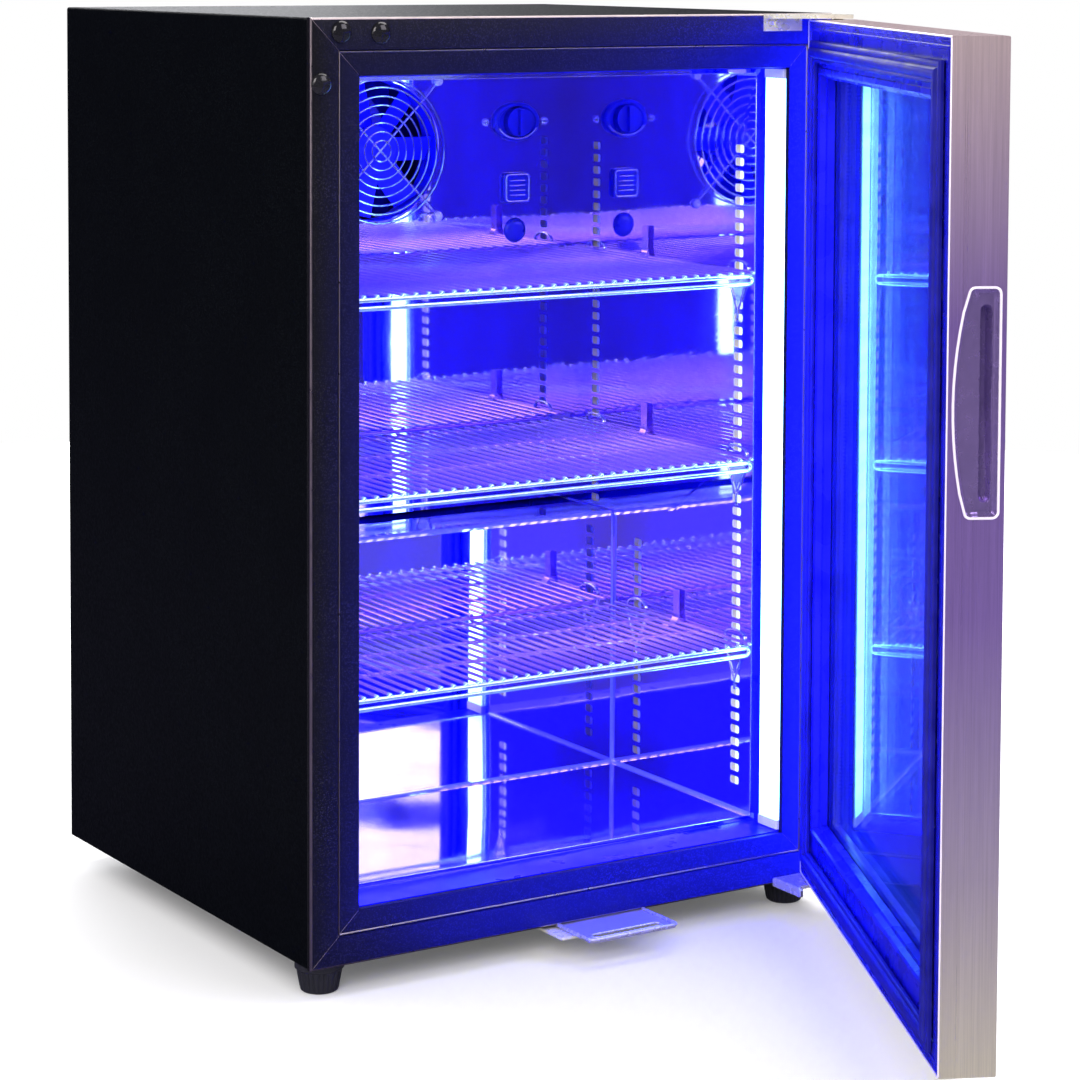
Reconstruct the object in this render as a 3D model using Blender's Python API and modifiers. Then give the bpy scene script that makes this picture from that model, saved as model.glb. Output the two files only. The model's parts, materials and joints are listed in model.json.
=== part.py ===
"""Undercounter glass-door refrigerator, built as separate named pieces.

Metres, +X right seen from the front, +Y back, +Z up. The origin is the centre
of the pressed pad in the underside of the base pan. At rest the door stands
part open on its right-hand hinge. A depth d is measured back from the front
plane, and a door depth n is measured forward from the door's inner face.
"""

import math

import bmesh
import bpy
from mathutils import Matrix, Vector

# Cabinet
BODY_W = 0.446
BODY_D = 0.400
BODY_H = 0.660
SHEET = 0.0012
GAP = 0.0003
FRONT = -BODY_D / 2
BACK = BODY_D / 2
SIDE = BODY_W / 2
PAD_DROP = 0.001
SKIN = SHEET + GAP

# Front frame and the collar behind it
FRAME_T = 0.005
OPEN_HALF_W = 0.1835
OPEN_LOW = 0.038
OPEN_HIGH = 0.6195
INNER_BAND = 0.0155
BAND_STEP = 0.0012
COLLAR_DEPTH = 0.042
COLLAR_WALL = 0.0015
COLLAR_SET_BACK = 0.003

# Liner and the machine bay behind its step
FLOOR_Z = 0.0414
CEILING_Z = 0.6125
LINER_REAR_D = 0.358
STEP_D = 0.233
STEP_Z = 0.249
FLANGE_W = 0.0075
BAY_FOAM = 0.022
COVER_LAP = 0.008
SLOT_W = 0.011
SLOT_H = 0.006

# Air duct, fan and controls
COVER_D = 0.300
FAN_Z = 0.546
FAN_SIZE = 0.120
FAN_T = 0.025
FAN_BORE_R = 0.057
GUARD_HOLE = 0.105
CONTROL_X = 0.129
THERMOSTAT_Z = 0.566
SENSOR_Z = 0.512
PLUG_Z = 0.477

# Shelves
SHELF_TOPS = (0.4635, 0.3205, 0.1775)
SHELF_HALF_W = 0.181
SHELF_FRONT_D = 0.038
SHELF_REAR_D = (0.288, 0.288, 0.225)
SHELF_TAB_D = (0.185, 0.185, 0.138)
SHELF_BARS = 35
CROSS_SHARES = (0.38, 0.68)
TAB_W = 0.008
TAB_H = 0.025
WIRE_R = 0.0015
CLIP_SLOT_DROP = 0.004
CLIP_FRONT_D = 0.062
CLIP_REAR_D = (0.260, 0.260, 0.197)

# Door
DOOR_GAP = 0.007
DOOR_T = 0.037
DOOR_LOW = 0.0065
DOOR_HIGH = 0.6555
DOOR_BORDER = 0.043
DOOR_BORDER_LOW = 0.048
DOOR_SKIN = 0.001
DOOR_OPEN_DEG = 63.9
PIVOT_IN = 0.015
PIVOT_N = 0.019
PIVOT_X = SIDE - PIVOT_IN
PIVOT_Y = FRONT - DOOR_GAP - PIVOT_N
PIN_R = 0.0035
PANE_T = 0.0032
GLASS_N = 0.0122
PANE_PITCH = 0.0094
GLASS_LAP = 0.009
GASKET_INSET = 0.018
GASKET_INSET_LOW = 0.010
GASKET_INSET_HIGH = 0.015
GASKET_W = 0.016
GASKET_T = 0.006

# Mains inlet
INLET_X = 0.160
INLET_Z = 0.030
INLET_HOLE_W = 0.031
INLET_HOLE_H = 0.021

# Hinge brackets, lock and strike
BRACKET_T = 0.003
BRACKET_X = (0.158, 0.192)
BRACKET_LEG_H = 0.013
LOCK_X = 0.0175
LOCK_Z = 0.030
LOCK_N = 0.028
CAM_REACH = 0.035
STRIKE_X = (-0.021, 0.056)
STRIKE_REACH = 0.0465

# Feet
FOOT_H = 0.022
FOOT_R = 0.0175
FOOT_FRONT_X = 0.203
FOOT_REAR_X = 0.160
FOOT_Y = 0.176
STEM_R = 0.0038

PARTS = None
CUTTERS = None


# ---------------------------------------------------------------- scene setup

def clear_scene():
    for obj in list(bpy.data.objects):
        bpy.data.objects.remove(obj, do_unlink=True)


def make_collections():
    global PARTS, CUTTERS
    PARTS = bpy.data.collections.new("undercounter_refrigerator")
    CUTTERS = bpy.data.collections.new("cutters")
    for collection in (PARTS, CUTTERS):
        bpy.context.scene.collection.children.link(collection)


def material(name, colour, roughness, metallic=0.0, alpha=1.0, glow=0.0):
    made = bpy.data.materials.new(name)
    made.use_nodes = True
    shader = made.node_tree.nodes["Principled BSDF"]
    shader.inputs["Base Color"].default_value = (*colour, 1.0)
    shader.inputs["Roughness"].default_value = roughness
    shader.inputs["Metallic"].default_value = metallic
    shader.inputs["Alpha"].default_value = alpha
    shader.inputs["Emission Color"].default_value = (*colour, 1.0)
    shader.inputs["Emission Strength"].default_value = glow
    return made


# ------------------------------------------------------------- shape builders

def place(name, mesh, matrix, paint):
    """Link a mesh as a part, or as a cutter where it has no paint."""
    obj = bpy.data.objects.new(name, mesh)
    obj.matrix_world = matrix
    if paint is None:
        CUTTERS.objects.link(obj)
        obj.hide_render = True
        obj.display_type = "WIRE"
    else:
        PARTS.objects.link(obj)
        mesh.materials.append(paint)
    return obj


def move(obj, matrix):
    """Carry an object by a further matrix in world space."""
    obj.matrix_world = matrix @ obj.matrix_world


def box(name, low, high, paint=None, round_r=0.0):
    low = Vector(low)
    high = Vector(high)
    bm = bmesh.new()
    bmesh.ops.create_cube(bm, size=1.0, matrix=Matrix.Diagonal((*(high - low), 1.0)))
    mesh = bpy.data.meshes.new(name)
    bm.to_mesh(mesh)
    bm.free()
    obj = place(name, mesh, Matrix.Translation((low + high) / 2), paint)
    if round_r:
        bevel = obj.modifiers.new("rounded", "BEVEL")
        bevel.width = round_r
        bevel.segments = 2
    return obj


def cylinder(name, centre, radius, length, axis="Z", paint=None, top_radius=None, steps=20):
    bm = bmesh.new()
    bmesh.ops.create_cone(
        bm,
        cap_ends=True,
        segments=steps,
        radius1=radius,
        radius2=radius if top_radius is None else top_radius,
        depth=length,
    )
    mesh = bpy.data.meshes.new(name)
    bm.to_mesh(mesh)
    bm.free()
    mesh.shade_smooth()
    mesh.set_sharp_from_angle(angle=math.radians(40))
    turn = {
        "X": Matrix.Rotation(math.radians(90), 4, "Y"),
        "Y": Matrix.Rotation(math.radians(-90), 4, "X"),
        "Z": Matrix.Identity(4),
    }[axis]
    return place(name, mesh, Matrix.Translation(centre) @ turn, paint)


def turned(name, profile, centre, paint, steps=20):
    """Spin a profile of (radius, height), from the top down its outer side."""
    bm = bmesh.new()
    points = [bm.verts.new((r, 0.0, z)) for r, z in profile]
    for upper, lower in zip(points, points[1:]):
        bm.edges.new((upper, lower))
    mesh = bpy.data.meshes.new(name)
    bm.to_mesh(mesh)
    bm.free()
    obj = place(name, mesh, Matrix.Translation(centre), paint)
    screw = obj.modifiers.new("turned", "SCREW")
    screw.axis = "Z"
    screw.steps = steps
    screw.render_steps = steps
    screw.use_merge_vertices = True
    screw.merge_threshold = 0.00005
    return obj


def mesh_of_curve(name, curve, matrix, paint):
    """Turn curve data into a welded mesh object."""
    source = bpy.data.objects.new(name + "_curve", curve)
    bpy.context.scene.collection.objects.link(source)
    source.matrix_world = matrix
    bpy.context.view_layer.update()
    graph = bpy.context.evaluated_depsgraph_get()
    mesh = bpy.data.meshes.new_from_object(source.evaluated_get(graph))
    mesh.name = name
    bm = bmesh.new()
    bm.from_mesh(mesh)
    bmesh.ops.remove_doubles(bm, verts=bm.verts, dist=0.000005)
    bmesh.ops.recalc_face_normals(bm, faces=bm.faces)
    bm.to_mesh(mesh)
    bm.free()
    bpy.data.objects.remove(source, do_unlink=True)
    bpy.data.curves.remove(curve)
    mesh.materials.clear()
    return place(name, mesh, matrix, paint)


def add_poly(curve, points, closed):
    spline = curve.splines.new("POLY")
    spline.points.add(len(points) - 1)
    for slot, point in zip(spline.points, points):
        slot.co = (point[0], point[1], point[2] if len(point) > 2 else 0.0, 1.0)
    spline.use_cyclic_u = closed


def plate(name, outlines, thickness, matrix, paint=None):
    """A flat piece from 2D outlines, where an outline inside another is a hole."""
    curve = bpy.data.curves.new(name, "CURVE")
    curve.dimensions = "2D"
    curve.fill_mode = "BOTH"
    curve.extrude = thickness / 2
    for outline in outlines:
        add_poly(curve, outline, True)
    return mesh_of_curve(name, curve, matrix, paint)


def wire(name, points, radius, paint=None, sides=1, closed=False):
    curve = bpy.data.curves.new(name, "CURVE")
    curve.dimensions = "3D"
    curve.bevel_depth = radius
    curve.bevel_resolution = sides
    curve.use_fill_caps = True
    add_poly(curve, points, closed)
    return mesh_of_curve(name, curve, Matrix.Identity(4), paint)


def facing_front(x, y, z):
    """Matrix that stands a flat outline up in the XZ plane."""
    return Matrix.Translation((x, y, z)) @ Matrix.Rotation(math.radians(90), 4, "X")


def facing_side(x, y, z):
    """Matrix that stands a flat outline up in the YZ plane: u to +Y, v to +Z."""
    columns = Matrix(((0, 0, 1, 0), (1, 0, 0, 0), (0, 1, 0, 0), (0, 0, 0, 1)))
    return Matrix.Translation((x, y, z)) @ columns


def rectangle(u0, v0, u1, v1):
    return [(u0, v0), (u1, v0), (u1, v1), (u0, v1)]


def rounded(corners, radius, steps=3):
    """A closed outline with each corner replaced by a short arc."""
    outline = []
    count = len(corners)
    for i in range(count):
        here = Vector(corners[i])
        before = (Vector(corners[i - 1]) - here).normalized()
        after = (Vector(corners[(i + 1) % count]) - here).normalized()
        half = before.angle(after) / 2
        reach = radius / math.tan(half)
        centre = here + (before + after).normalized() * radius / math.sin(half)
        start = here + before * reach - centre
        sweep = start.angle_signed(here + after * reach - centre)
        for k in range(steps + 1):
            turn = Matrix.Rotation(-sweep * k / steps, 2)
            outline.append(tuple(centre + turn @ start))
    return outline


def circle(u, v, radius, steps):
    angles = [2 * math.pi * k / steps for k in range(steps)]
    return [(u + radius * math.cos(a), v + radius * math.sin(a)) for a in angles]


def winding(x_low, x_high, y, z_low, pitch, runs):
    """Path of a flat coil: level runs joined by half-round bends."""
    path = []
    for i in range(runs):
        z = z_low + pitch * i
        ends = (x_low, x_high) if i % 2 == 0 else (x_high, x_low)
        path += [(ends[0], y, z), (ends[1], y, z)]
        if i == runs - 1:
            break
        out = 1 if i % 2 == 0 else -1
        for k in range(1, 4):
            angle = math.radians(-90 + 45 * k)
            reach = pitch / 2
            path.append((ends[1] + out * reach * math.cos(angle), y, z + reach + reach * math.sin(angle)))
    return path


def boolean(target, other, operation, solver="EXACT"):
    step = target.modifiers.new(other.name, "BOOLEAN")
    step.operation = operation
    step.solver = solver
    step.object = other
    return target


def cut(target, *others):
    for other in others:
        boolean(target, other, "DIFFERENCE")
    return target


def join(target, *others, solver="EXACT"):
    for other in others:
        boolean(target, other, "UNION", solver)
    return target


def attach(empty, objects):
    """Parent objects, and the helpers their Booleans use, to an unturned empty."""
    home = Matrix.Translation(-empty.location)
    waiting = list(objects)
    while waiting:
        obj = waiting.pop()
        if obj.parent == empty:
            continue
        obj.parent = empty
        obj.matrix_parent_inverse = home
        waiting += [m.object for m in obj.modifiers if m.type == "BOOLEAN"]


# --------------------------------------------------------------------- cabinet

def outer_shell(paint):
    """Top and sides folded from one sheet."""
    middle = SHEET / 2
    x = SIDE - middle
    top = BODY_H - middle
    bend = 0.0015
    arc = []
    for k in range(5):
        angle = math.radians(90 * k / 4)
        arc.append((x - bend + bend * math.cos(angle), top - bend + bend * math.sin(angle)))
    right = [(x, PAD_DROP), *arc]
    points = right + [(-u, v) for u, v in reversed(right)]
    length = BACK - (FRONT + FRAME_T + GAP)
    curve = bpy.data.curves.new("outer_shell", "CURVE")
    curve.dimensions = "2D"
    curve.fill_mode = "NONE"
    curve.extrude = length / 2
    add_poly(curve, points, False)
    matrix = facing_front(0, BACK - length / 2, 0)
    shell = mesh_of_curve("outer_shell", curve, matrix, paint)
    solidify = shell.modifiers.new("sheet", "SOLIDIFY")
    solidify.thickness = SHEET
    solidify.offset = 0.0
    return shell


def base_pan(paint):
    """Bottom tray with folded flanges, a pressed centre pad and foot bosses."""
    x = SIDE - SKIN
    front = FRONT + FRAME_T + GAP
    pan = box("base_pan", (-x, front, PAD_DROP), (x, BACK, 0.016), paint)
    hollow_low = (-x + SHEET, front + SHEET, PAD_DROP + 0.0015)
    cut(pan, box("pan_hollow", hollow_low, (x - SHEET, BACK + 0.01, 0.030)))
    join(pan, box("pan_pad", (-0.12, -0.10, 0.0), (0.12, 0.10, 0.0018)))
    for i, (fx, fy) in enumerate(foot_places()):
        join(pan, cylinder(f"pan_boss_{i}", (fx, fy, 0.0075), 0.008, 0.011, steps=16))
        cut(pan, cylinder(f"pan_hole_{i}", (fx, fy, 0.007), 0.0044, 0.030, steps=16))
    return pan


def foot_places():
    rows = ((FOOT_FRONT_X, -FOOT_Y), (FOOT_REAR_X, FOOT_Y))
    return [(side * x, y) for x, y in rows for side in (-1, 1)]


def back_panel(paint):
    x = SIDE - SKIN
    low = STEP_Z - SKIN - BAY_FOAM + COVER_LAP
    top = BODY_H - SKIN
    return box("back_panel", (-x, BACK - SHEET, low), (x, BACK, top), paint)


def compressor_cover(paint):
    """Vented cover over the machine bay, with an opening for the mains inlet."""
    x = SIDE - SKIN
    top = STEP_Z - SKIN - BAY_FOAM + COVER_LAP - GAP
    low = PAD_DROP + 0.0015 + GAP
    outlines = [rectangle(-x + SHEET + GAP, low, x - SHEET - GAP, top)]
    for side in (-1, 1):
        for row in range(9):
            z = 0.066 + 0.016 * row
            middle = side * 0.095
            outlines.append(rectangle(middle - 0.07, z, middle + 0.07, z + 0.006))
    half_x = INLET_HOLE_W / 2
    half_z = INLET_HOLE_H / 2
    outlines.append(rectangle(INLET_X - half_x, INLET_Z - half_z, INLET_X + half_x, INLET_Z + half_z))
    return plate("compressor_cover", outlines, SHEET, facing_front(0, BACK - SHEET / 2, 0), paint)


def front_frame(paint):
    """Black face frame: outer band, a step down, and an inner band round the opening."""
    y = FRONT + FRAME_T
    frame = box("front_frame", (-SIDE, FRONT, 0.0), (SIDE, y, BODY_H), paint, 0.0008)
    opening = box("frame_opening", (-OPEN_HALF_W, -0.3, OPEN_LOW), (OPEN_HALF_W, 0, OPEN_HIGH))
    step_low = (-OPEN_HALF_W - INNER_BAND, -0.3, OPEN_LOW - INNER_BAND)
    step_high = (OPEN_HALF_W + INNER_BAND, FRONT + BAND_STEP, OPEN_HIGH + INNER_BAND)
    cut(frame, box("frame_step", step_low, step_high), opening)
    for i, (x, z) in enumerate(cap_places()):
        cut(frame, cylinder(f"cap_hole_{i}", (x, FRONT, z), 0.0033, 0.03, "Y", steps=16))
    return frame


def cap_places():
    """Plugs in the spare hinge holes of the other hand."""
    return [(-0.199, 0.650), (-0.168, 0.649), (-0.2146, 0.6147)]


def hole_cap(number, x, z, paint):
    """Domed snap cap, its stem pushed into the frame."""
    profile = [(0.0, 0.0034), (0.0035, 0.0030), (0.0062, 0.0019), (0.0078, GAP)]
    profile += [(0.0029, GAP), (0.0029, -0.0030), (0.0, -0.0030)]
    cap = turned(f"hinge_hole_cap_{number}", profile, (x, FRONT, z), paint, 16)
    cap.rotation_euler.x = math.radians(90)
    return cap


def collar(paint):
    """Plastic breaker strip between the face frame and the metal liner."""
    front = FRONT + FRAME_T + GAP
    rear = FRONT + COLLAR_DEPTH - GAP
    x = OPEN_HALF_W + COLLAR_SET_BACK
    low = OPEN_LOW + 0.0008
    high = OPEN_HIGH - 0.0008
    ring = box(
        "collar",
        (-x - COLLAR_WALL, front, low - COLLAR_WALL),
        (x + COLLAR_WALL, rear, high + COLLAR_WALL),
        paint,
    )
    return cut(ring, box("collar_bore", (-x, -0.3, low), (x, 0.1, high)))


def cavity(name, inset, extra=0.0):
    """The two boxes of the stepped inside, grown outward by inset."""
    x = OPEN_HALF_W + inset
    rear = FRONT + LINER_REAR_D + inset
    front = FRONT + COLLAR_DEPTH - extra
    upper = box(f"{name}_upper", (-x, front, STEP_Z - inset), (x, rear, CEILING_Z + inset))
    step = FRONT + STEP_D + inset
    lower = box(f"{name}_lower", (-x, front, FLOOR_Z - inset), (x, step, CEILING_Z - 0.1))
    return upper, lower


def clip_places():
    """(shelf number, side, world y, shelf underside) of each shelf clip."""
    places = []
    for shelf, top in enumerate(SHELF_TOPS):
        for side in (-1, 1):
            for depth in (CLIP_FRONT_D, CLIP_REAR_D[shelf]):
                places.append((shelf, side, FRONT + depth, top - 2 * WIRE_R))
    return places


def liner(paint):
    """Polished stepped tub with a front flange and the slots its clips use."""
    outer_upper, outer_lower = cavity("liner_outer", SHEET)
    x = OPEN_HALF_W + FLANGE_W
    y = FRONT + COLLAR_DEPTH
    tub = box("liner", (-x, y, FLOOR_Z - 0.003), (x, y + SHEET, CEILING_Z + FLANGE_W), paint)
    join(tub, outer_upper, outer_lower)
    cut(tub, *cavity("liner_inner", 0.0, 0.05))
    for i, (_, side, y_clip, under) in enumerate(clip_places()):
        z = under - CLIP_SLOT_DROP
        low = (side * OPEN_HALF_W - 0.004, y_clip - SLOT_W / 2, z - SLOT_H / 2)
        high = (side * OPEN_HALF_W + 0.004, y_clip + SLOT_W / 2, z + SLOT_H / 2)
        cut(tub, box(f"clip_slot_{i}", low, high))
    return tub


def insulation(paint):
    """Foam between the shell and the liner, cut away for the machine bay."""
    x = SIDE - SKIN - SHEET - GAP
    front = FRONT + FRAME_T + SKIN + GAP
    top = BODY_H - SKIN
    foam = box("insulation", (-x, front, 0.0028), (x, BACK - SKIN, top), paint)
    cut(foam, *cavity("foam_cavity", SKIN, 0.0))
    bore = OPEN_HALF_W + FLANGE_W + GAP
    mouth_low = (-bore, FRONT - 0.1, OPEN_LOW - COLLAR_WALL - GAP)
    mouth_high = (bore, FRONT + COLLAR_DEPTH + SKIN, CEILING_Z + FLANGE_W + 0.001)
    cut(foam, box("foam_mouth", mouth_low, mouth_high))
    bay_y = FRONT + STEP_D + SKIN + BAY_FOAM
    bay_z = STEP_Z - SKIN - BAY_FOAM
    cut(foam, box("machine_bay", (-x - 0.01, bay_y, -0.01), (x + 0.01, BACK + 0.1, bay_z)))
    for i, side in enumerate((-1, 1)):
        for j, depth in enumerate((CLIP_FRONT_D, CLIP_REAR_D[2], CLIP_REAR_D[0])):
            y = FRONT + depth
            x0, x1 = sorted((side * OPEN_HALF_W, side * (OPEN_HALF_W + 0.008)))
            channel = box(f"slot_channel_{i}_{j}", (x0, y - 0.008, 0.050), (x1, y + 0.008, 0.575))
            cut(foam, channel)
    for i, (fx, fy) in enumerate(foot_places()[:2]):
        cut(foam, cylinder(f"foot_pocket_{i}", (fx, fy, 0.01), 0.0095, 0.040, steps=16))
    return foam


# ------------------------------------------------------- cold-side fittings

def evaporator_cover(paint):
    """Polished rear panel with the fan opening and the thermostat's hole."""
    x = OPEN_HALF_W - 0.0005
    outlines = [
        rectangle(-x, STEP_Z + 0.004, x, CEILING_Z - 0.0005),
        circle(0, FAN_Z, 0.056, 32),
        circle(CONTROL_X, THERMOSTAT_Z, 0.005, 12),
        circle(CONTROL_X, PLUG_Z, 0.006, 12),
    ]
    matrix = facing_front(0, FRONT + COVER_D + SHEET / 2, 0)
    return plate("evaporator_cover", outlines, SHEET, matrix, paint)


def evaporator(paint):
    """Roll-bonded plate with a winding tube channel, standing off the liner's rear wall."""
    y = FRONT + 0.342
    sheet = box("evaporator", (-0.15, y, 0.275), (0.15, y + 0.0015, 0.462), paint)
    join(sheet, wire("evaporator_tube", winding(-0.118, 0.118, y, 0.298, 0.036, 5), 0.0032))
    for i, (sx, z) in enumerate(((-1, 0.285), (1, 0.285), (-1, 0.452), (1, 0.452))):
        stud = cylinder(f"evaporator_stud_{i}", (sx * 0.144, y + 0.008, z), 0.003, 0.0145, "Y", steps=12)
        join(sheet, stud)
    return sheet


def fan_housing(paint):
    """Square duct of an axial fan, with the motor held on four arms at its rear."""
    y = FRONT + COVER_D + SKIN
    half = FAN_SIZE / 2
    outline = rounded(rectangle(-half, -half, half, half), 0.006)
    outlines = [outline, circle(0, 0, FAN_BORE_R, 32)]
    centre = facing_front(0, y + FAN_T / 2, FAN_Z)
    housing = plate("fan_housing", outlines, FAN_T, centre, paint)
    rear = y + FAN_T
    for i in range(2):
        arm = box(f"fan_arm_{i}", (-0.059, -0.0015, -0.0025), (0.059, 0.0015, 0.0025))
        turn = Matrix.Rotation(math.radians(45 + 90 * i), 4, "Y")
        move(arm, Matrix.Translation((0, rear - 0.0016, FAN_Z)) @ turn)
        join(housing, arm)
    return join(housing, cylinder("fan_motor", (0, rear - 0.0025, FAN_Z), 0.02, 0.004, "Y"))


def fan_rotor(paint):
    """Hub with seven pitched blades."""
    y = FRONT + COVER_D + SKIN + 0.0115
    hub = cylinder("fan_rotor", (0, y, FAN_Z), 0.0195, 0.016, "Y", paint)
    for i in range(7):
        blade = box(f"fan_blade_{i}", (0.016, -0.0008, -0.011), (0.0535, 0.0008, 0.011))
        spin = Matrix.Rotation(2 * math.pi * i / 7, 4, "Y")
        pitch = Matrix.Rotation(math.radians(32), 4, "X")
        move(blade, Matrix.Translation((0, y, FAN_Z)) @ spin @ pitch)
        join(hub, blade)
    return hub


def fan_guard(paint):
    """Wire finger guard: round rings on two crossed ribs with screw eyes."""
    y = FRONT + COVER_D - 0.0022
    rings = []
    for i in range(4):
        radius = 0.0165 + 0.0138 * i
        rings += [circle(0, 0, radius + 0.0011, 20), circle(0, 0, radius - 0.0011, 20)]
    guard = plate("fan_guard", rings, 0.0022, facing_front(0, y, FAN_Z), paint)
    reach = GUARD_HOLE / 2 * math.sqrt(2)
    for i in range(2):
        rib = box(f"guard_rib_{i}", (-reach, 0.0, -0.0011), (reach, 0.0018, 0.0011))
        turn = Matrix.Rotation(math.radians(45 + 90 * i), 4, "Y")
        move(rib, Matrix.Translation((0, y, FAN_Z)) @ turn)
        join(guard, rib)
    for i, (sx, sz) in enumerate(((-1, -1), (1, -1), (-1, 1), (1, 1))):
        place_at = (sx * GUARD_HOLE / 2, y + 0.0009, FAN_Z + sz * GUARD_HOLE / 2)
        join(guard, cylinder(f"guard_eye_{i}", place_at, 0.0045, 0.0019, "Y", steps=12))
    return guard


def thermostat_bezel(paint):
    """Oval dial plate with a round well for the knob."""
    outline = [(0.022 * math.cos(a), 0.016 * math.sin(a)) for a in (math.pi * k / 16 for k in range(32))]
    y = FRONT + COVER_D - GAP - 0.002
    bezel = plate("thermostat_bezel", [outline], 0.004, facing_front(CONTROL_X, y, THERMOSTAT_Z), paint)
    return cut(bezel, cylinder("dial_well", (CONTROL_X, y, THERMOSTAT_Z), 0.0125, 0.02, "Y"))


def thermostat_knob(paint):
    """Dial knob with a raised grip bar and the thermostat's shaft behind it."""
    y = FRONT + COVER_D - 0.0045
    knob = cylinder("thermostat_knob", (CONTROL_X, y, THERMOSTAT_Z), 0.0118, 0.0075, "Y", paint)
    grip_low = (CONTROL_X - 0.002, y - 0.0075, THERMOSTAT_Z - 0.0105)
    grip_high = (CONTROL_X + 0.002, y - 0.002, THERMOSTAT_Z + 0.0105)
    join(knob, box("knob_grip", grip_low, grip_high))
    shaft = (CONTROL_X, FRONT + COVER_D + 0.005, THERMOSTAT_Z)
    return join(knob, cylinder("knob_shaft", shaft, 0.003, 0.016, "Y", steps=16))


def sensor_cover(paint):
    y = FRONT + COVER_D - GAP
    outline = rounded(rectangle(-0.0125, -0.0125, 0.0125, 0.0125), 0.004)
    cover = plate("sensor_cover", [outline], 0.006, facing_front(CONTROL_X, y - 0.003, SENSOR_Z), paint)
    inner = (CONTROL_X - 0.0105, y - 0.0045, SENSOR_Z - 0.0105)
    outer = (CONTROL_X + 0.0105, y + 0.01, SENSOR_Z + 0.0105)
    return cut(cover, box("sensor_hollow", inner, outer))


def panel_plug(paint):
    """Domed snap plug in the rear panel's spare hole."""
    y = FRONT + COVER_D - GAP
    plug = cylinder("panel_plug", (CONTROL_X, y - 0.0015, PLUG_Z), 0.008, 0.003, "Y", paint, 0.0102)
    return join(plug, cylinder("plug_stem", (CONTROL_X, y + 0.002, PLUG_Z), 0.0052, 0.008, "Y", steps=12))


def led_strip(name, side, paint):
    """Vertical light bar on the collar's side wall."""
    outer = OPEN_HALF_W + COLLAR_SET_BACK - GAP
    inner = outer - 0.004
    low_x, high_x = sorted((side * inner, side * outer))
    y = FRONT + 0.0065
    return box(name, (low_x, y, OPEN_LOW + 0.002), (high_x, y + 0.0225, OPEN_HIGH - 0.002), paint, 0.0008)


# -------------------------------------------------------------------- shelves

def shelf(number, top, rear_d, tab_d, paint):
    """Wire grid: close bars front to back, two cross wires, a double front rail."""
    front = FRONT + SHELF_FRONT_D
    rear = FRONT + rear_d
    rail = 2 * WIRE_R
    pitch = (2 * SHELF_HALF_W - rail) / (SHELF_BARS - 1)
    outlines = [rectangle(-SHELF_HALF_W, front, SHELF_HALF_W, rear)]
    for i in range(SHELF_BARS - 1):
        left = -SHELF_HALF_W + rail + i * pitch
        outlines.append(rectangle(left, front + rail, left + pitch - rail, rear - rail))
    matrix = Matrix.Translation((0, 0, top - WIRE_R))
    grid = plate(f"shelf_{number}", outlines, rail, matrix, paint)
    under = top - rail
    x = SHELF_HALF_W - 0.0005
    low_rail = (-x, front + 0.0002, under - 0.008), (x, front + 0.003, under - 0.005)
    extra = [box(f"lower_rail_{number}", *low_rail)]
    cross_y = [front + (rear - front) * share for share in CROSS_SHARES]
    for j, y in enumerate(cross_y):
        cross = (-x, y, under - 0.003), (x, y + rail, under - GAP)
        extra.append(box(f"cross_{number}_{j}", *cross))
    for side in (-1, 1):
        extra += shelf_end_pieces(number, side, front, top, cross_y, FRONT + tab_d)
    return join(grid, *extra, solver="MANIFOLD")


def shelf_end_pieces(number, side, front, top, cross_y, tab_y):
    """What ties the layers together at one side: weld blocks, the front end and the upright tab."""
    under = top - 2 * WIRE_R
    high = top - 0.0005
    x0, x1 = sorted((side * (SHELF_HALF_W + 0.0001), side * (SHELF_HALF_W - 0.0024)))
    tag = f"{number}_{side}"
    pieces = []
    for j, y in enumerate(cross_y):
        weld = (x0, y - 0.001, under - 0.0035), (x1, y + 0.004, high)
        pieces.append(box(f"weld_{tag}_{j}", *weld))
    end = (x0, front - 0.0004, under - 0.0086), (x1, front + 0.0036, high)
    pieces.append(box(f"end_{tag}", *end))
    tab = (x0, tab_y - TAB_W / 2, under + 0.001), (x1 - 0.0002, tab_y + TAB_W / 2, top + TAB_H)
    pieces.append(box(f"tab_{tag}", *tab))
    return pieces


def shelf_clip(number, side, y, under, paint):
    """Ledge and V-shaped support that hooks into a slot of the liner's side wall."""
    top = under - GAP
    slot_z = under - CLIP_SLOT_DROP

    def slab(name, inward, outward, half_y, z_low, z_high, slab_paint=None):
        """A box against the side wall, from inward of it to outward of it."""
        x0, x1 = sorted((side * (OPEN_HALF_W - inward), side * (OPEN_HALF_W + outward)))
        return box(f"{name}_{number}", (x0, y - half_y, z_low), (x1, y + half_y, z_high), slab_paint)

    clip = slab("shelf_clip", 0.0095, -GAP, 0.015, top - 0.0016, top, paint)
    join(clip, slab("clip_hook", 0.003, 0.0055, 0.004, slot_z - 0.002, slot_z + 0.0015))
    x = side * (OPEN_HALF_W - 0.0028)
    high = top - 0.0006
    low = top - 0.026
    path = [(x, y + dy, z) for dy, z in ((-0.0135, high), (-0.0006, low), (0.0006, low), (0.0135, high))]
    join(clip, wire(f"clip_vee_{number}", path, 0.0013, sides=0))
    return join(clip, slab("clip_back", 0.0035, -0.0004, 0.0015, top - 0.024, top - 0.001))


# --------------------------------------------------------------- machine bay

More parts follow.
